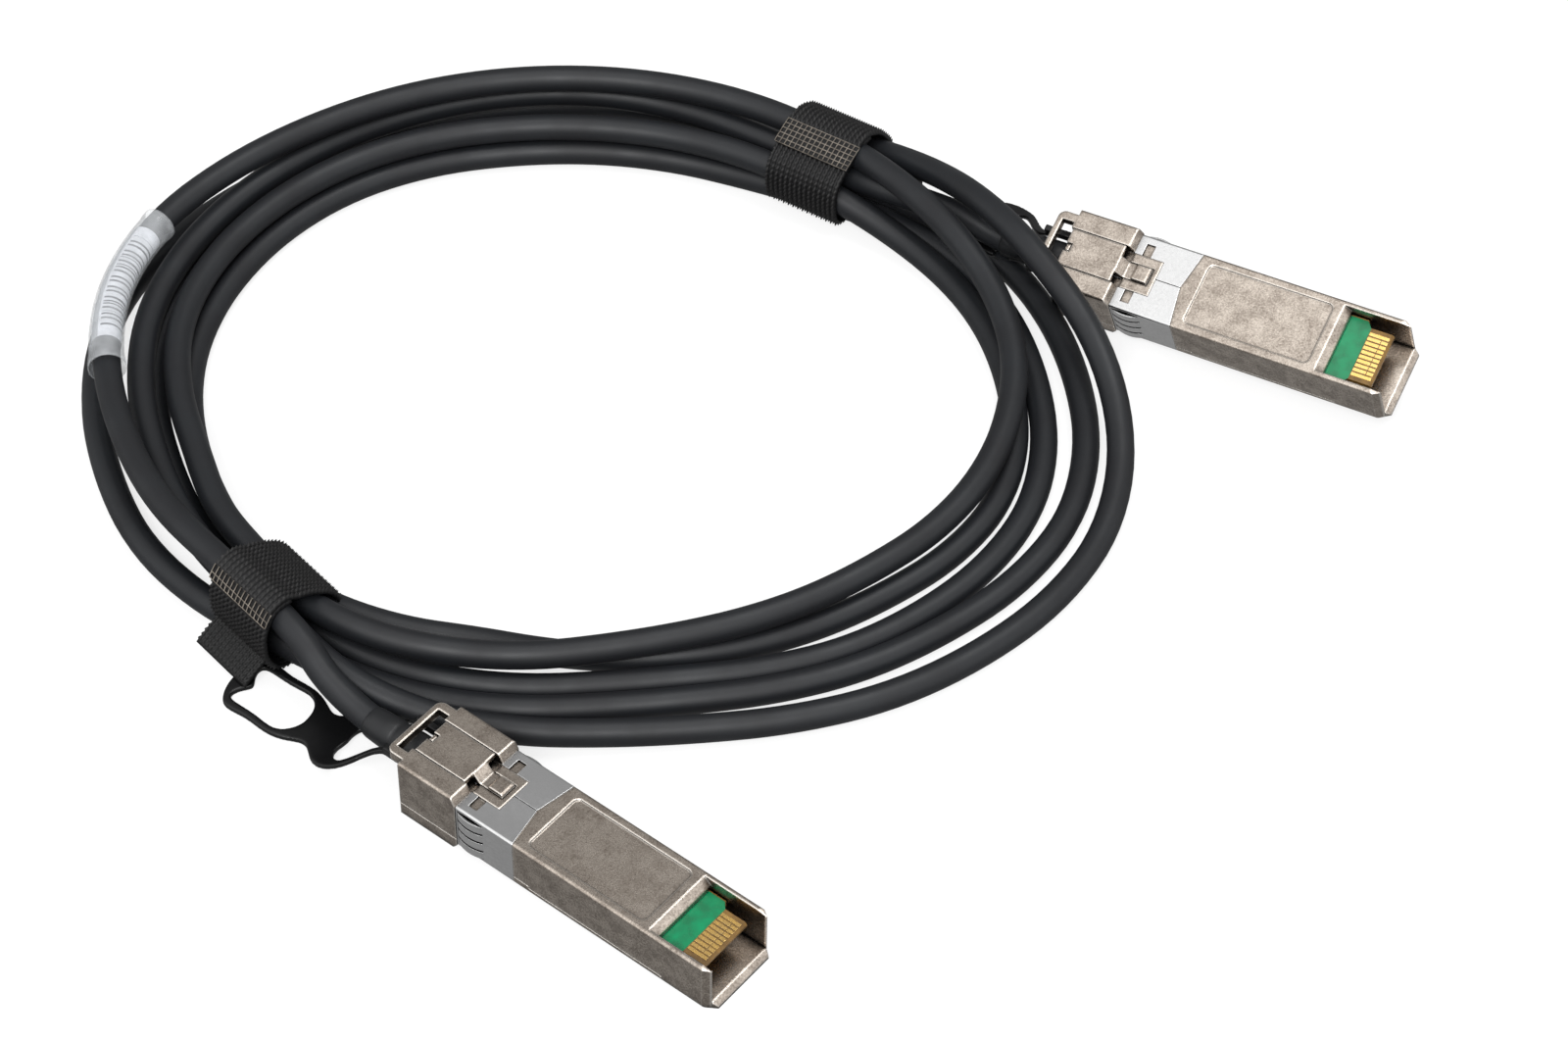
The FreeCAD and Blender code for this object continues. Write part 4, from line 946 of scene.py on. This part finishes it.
    def build(self, finishes: Finishes) -> list[bpy.types.Object]:
        """Model the tape, its bare weave and its other end, and return the pieces."""
        line = self.tape_line()
        letter = self.side.value
        bare = self.weave_rows * self.rib_pitch
        pieces = [self.corded(f"corded_tape_{letter}", line, self.across, self.width, bare)]
        if self.tail:
            near, far = self.tail_span
            pieces.append(self.corded(f"tape_tail_{letter}", self.tail_line(),
                                      lambda r, u: near + (far - near) * u, far - near, 0.0))
            # The tail takes the darker copy of the tape's finish as painted shade.
            dress(pieces[-1], finishes.tape_in_shade)
        dress(pieces[0], finishes.tape)
        total = sum(math.dist(before[:2], after[:2]) for before, after in zip(line, line[1:]))
        cells = round(self.width / self.rib_pitch)

        def thread(u: float, v: float) -> Vector:
            """Place a crossing of the grey ground threads."""
            at = (1 - bare / total * (1 - v)) * (len(line) - 1)
            r, z, out_r, out_z = between(line, at)
            height = self.sheet + 0.14
            return Vector((r + out_r * height, self.across(r, u), z + out_z * height)) * MM

        weave = shaped_grid(f"open_weave_{letter}", cells, self.weave_rows, thread)
        finish_with(weave, "WIREFRAME", thickness=0.24 * MM, use_even_offset=False)
        seat(weave, self.frame())
        dress(weave, finishes.tape_thread)
        pieces.append(weave)
        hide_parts(f"strap_{letter}")
        for piece in pieces:
            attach(piece, ROOT)
        return pieces


# ---------------------------------------------------------------- studio
@dataclass(frozen=True)
class Studio:
    """Plain white floor, soft light from behind the camera and above, and the camera."""

    lens: float = 94.635
    distance: float = 0.6248
    elevation: float = 46.65
    floor_size: float = 4.0

    def camera(self) -> None:
        """Set the camera at its viewing angle."""
        target = HOME * MM
        rise = math.radians(self.elevation)
        data = bpy.data.cameras.new("camera")
        data.lens = self.lens
        data.sensor_width = 36.0
        data.clip_start = 0.01
        camera = bpy.data.objects.new("camera", data)
        camera.location = target + Vector((0, -math.cos(rise), math.sin(rise))) * self.distance
        camera.rotation_euler = (math.pi / 2 - rise, 0, 0)
        bpy.context.scene.collection.objects.link(camera)
        bpy.context.scene.camera = camera

    def lamp(self, name: str, place: tuple[float, float, float], size: float, power: float) -> None:
        """Hang a square soft lamp that looks at the part.

        Args:
            name: The lamp's name.
            place: Where it hangs, in metres.
            size: The length of its side.
            power: Its power in watts.
        """
        data = bpy.data.lights.new(name, "AREA")
        data.size = size
        data.energy = power
        lamp = bpy.data.objects.new(name, data)
        lamp.location = place
        lamp.rotation_euler = Vector(place).to_track_quat("Z", "Y").to_euler()
        bpy.context.scene.collection.objects.link(lamp)

    def floor(self) -> None:
        """Lay the white floor, which keeps the part's soft shadow."""
        deselect_all()
        bpy.ops.mesh.primitive_plane_add(size=self.floor_size)
        floor = started("floor")
        material, tree = new_material("white_floor")
        paths = add_node(tree, "ShaderNodeLightPath")
        seen = add_node(tree, "ShaderNodeMath", {
            0: paths.outputs["Is Camera Ray"], 1: paths.outputs["Is Transmission Ray"]},
            operation="MAXIMUM")
        share = add_node(tree, "ShaderNodeMath", {0: seen.outputs[0], 1: 0.72}, operation="MULTIPLY")
        paint = add_node(tree, "ShaderNodeBsdfDiffuse", {"Color": linear("#f4f4f4")})
        glow = add_node(tree, "ShaderNodeEmission", {"Color": linear("#ffffff"), "Strength": 1.06})
        mixed = add_node(tree, "ShaderNodeMixShader", {
            0: share.outputs[0], 1: paint.outputs[0], 2: glow.outputs[0]})
        mirrored = add_node(tree, "ShaderNodeEmission", {"Color": linear("#ffffff"), "Strength": 0.34})
        shown = add_node(tree, "ShaderNodeMixShader", {
            0: paths.outputs["Is Glossy Ray"], 1: mixed.outputs[0], 2: mirrored.outputs[0]})
        add_node(tree, "ShaderNodeOutputMaterial", {"Surface": shown.outputs[0]})
        dress(floor, material)

    def world(self) -> None:
        """Set the sky: white where it is seen or mirrored, softer where it only lights."""
        world = bpy.data.worlds.new("studio")
        bpy.context.scene.world = world
        world.use_nodes = True
        tree = world.node_tree
        tree.nodes.clear()
        paths = add_node(tree, "ShaderNodeLightPath")
        direction = add_node(tree, "ShaderNodeSeparateXYZ",
                             {0: add_node(tree, "ShaderNodeTexCoord").outputs["Generated"]})
        strength = add_node(tree, "ShaderNodeMapRange", {
            "Value": direction.outputs["Y"], "From Min": 0.6, "From Max": 0.12, "To Min": 0.34,
            "To Max": 1.4}, interpolation_type="SMOOTHSTEP")
        mirrored = add_node(tree, "ShaderNodeBackground", {
            "Color": linear("#ffffff"), "Strength": strength.outputs[0]})
        ambient = add_node(tree, "ShaderNodeBackground", {"Color": linear("#ffffff"), "Strength": 0.62})
        seen = add_node(tree, "ShaderNodeBackground", {"Color": linear("#ffffff"), "Strength": 1.0})
        lit = add_node(tree, "ShaderNodeMixShader", {
            0: paths.outputs["Is Glossy Ray"], 1: ambient.outputs[0], 2: mirrored.outputs[0]})
        shown = add_node(tree, "ShaderNodeMixShader", {
            0: paths.outputs["Is Camera Ray"], 1: lit.outputs[0], 2: seen.outputs[0]})
        add_node(tree, "ShaderNodeOutputWorld", {"Surface": shown.outputs[0]})

    def build(self) -> None:
        """Set up camera, light and floor."""
        self.camera()
        self.lamp("key_lamp", (-0.25, -1.1, 1.25), 0.7, 22.0)
        self.lamp("top_lamp", (0.35, 0.25, 1.5), 0.8, 9.0)
        self.world()
        self.floor()
        bpy.context.scene.view_settings.view_transform = "Standard"


def main() -> None:
    """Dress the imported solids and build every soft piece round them."""
    logging.basicConfig(level=logging.INFO, format="%(message)s")
    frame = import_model()
    nodes = frame["nodes"]
    finishes = Finishes()
    plug_a = PlugEnd(Side.A, (-5.5, -87.25, 0.0), 141.5, -1.1, 0.0)
    plug_b = PlugEnd(Side.B, (95.9, 22.85, 6.1), 150.8, 2.7, -21.8)
    for plug in (plug_a, plug_b):
        plug.dress_solids(nodes, finishes)
        for piece in (plug.solder_mask(finishes), plug.boot(finishes), plug.pull_tab(nodes, finishes)):
            LOG.info("%s: %d faces", piece.name, len(piece.data.polygons))

    cable = Cable().build(plug_a, plug_b, finishes)
    line = centreline(cable)
    lengths = [0.0]
    for before, after in zip(line, line[1:]):
        lengths.append(lengths[-1] + (after - before).length)
    LOG.info("cable line: %.4f m", lengths[-1])
    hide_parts("cable_coil", "cable_lead_a", "cable_lead_b", "cable_over_left", "cable_over_right",
                "cable_outer_turn")
    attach(cable, ROOT)

    sleeve = Wrap("shrink_sleeve", "id_sleeve", "sleeve_film", 87.4, 121.0,
                  ((0.0, 2.85), (0.03, 2.85), (0.08, 2.66), (0.5, 2.58), (0.94, 2.6), (0.98, 2.74),
                   (1.0, 2.72)),
                  thickness=0.14).build(line, finishes.film)
    label = Wrap("bar_label", "id_label", "label_paper", 92.4, 117.2,
                 ((0.0, 2.32), (1.0, 2.32))).build(line, finishes.label)

    straps = (
        CableStrap(Side.A, 57.1,
                   ((58.6, 1.2), (74.2, 1.2), (75.0, 3.5), (75.0, 7.0), (70.4, 12.8), (65.4, 12.8),
                    (58.0, 9.3)),
                   (61.2, 11.1), 5, 0.16),
        CableStrap(Side.B, 221.1,
                   ((54.8, 7.8), (61.0, 12.5), (66.2, 13.2), (68.3, 10.0), (68.4, 5.2), (66.0, 1.3),
                    (54.6, 1.2)),
                   (67.8, 11.4), 2, 0.12, tail=((68.0, 3.9), (70.4, 2.4), (72.8, 0.7)),
                   tail_span=(-5.6, 6.6), centre=0.65, lean=0.134),
    )
    for strap in straps:
        for piece in strap.build(finishes):
            LOG.info("%s: %d faces", piece.name, len(piece.data.polygons))

    Studio().build()


if __name__ == "__main__":
    main()
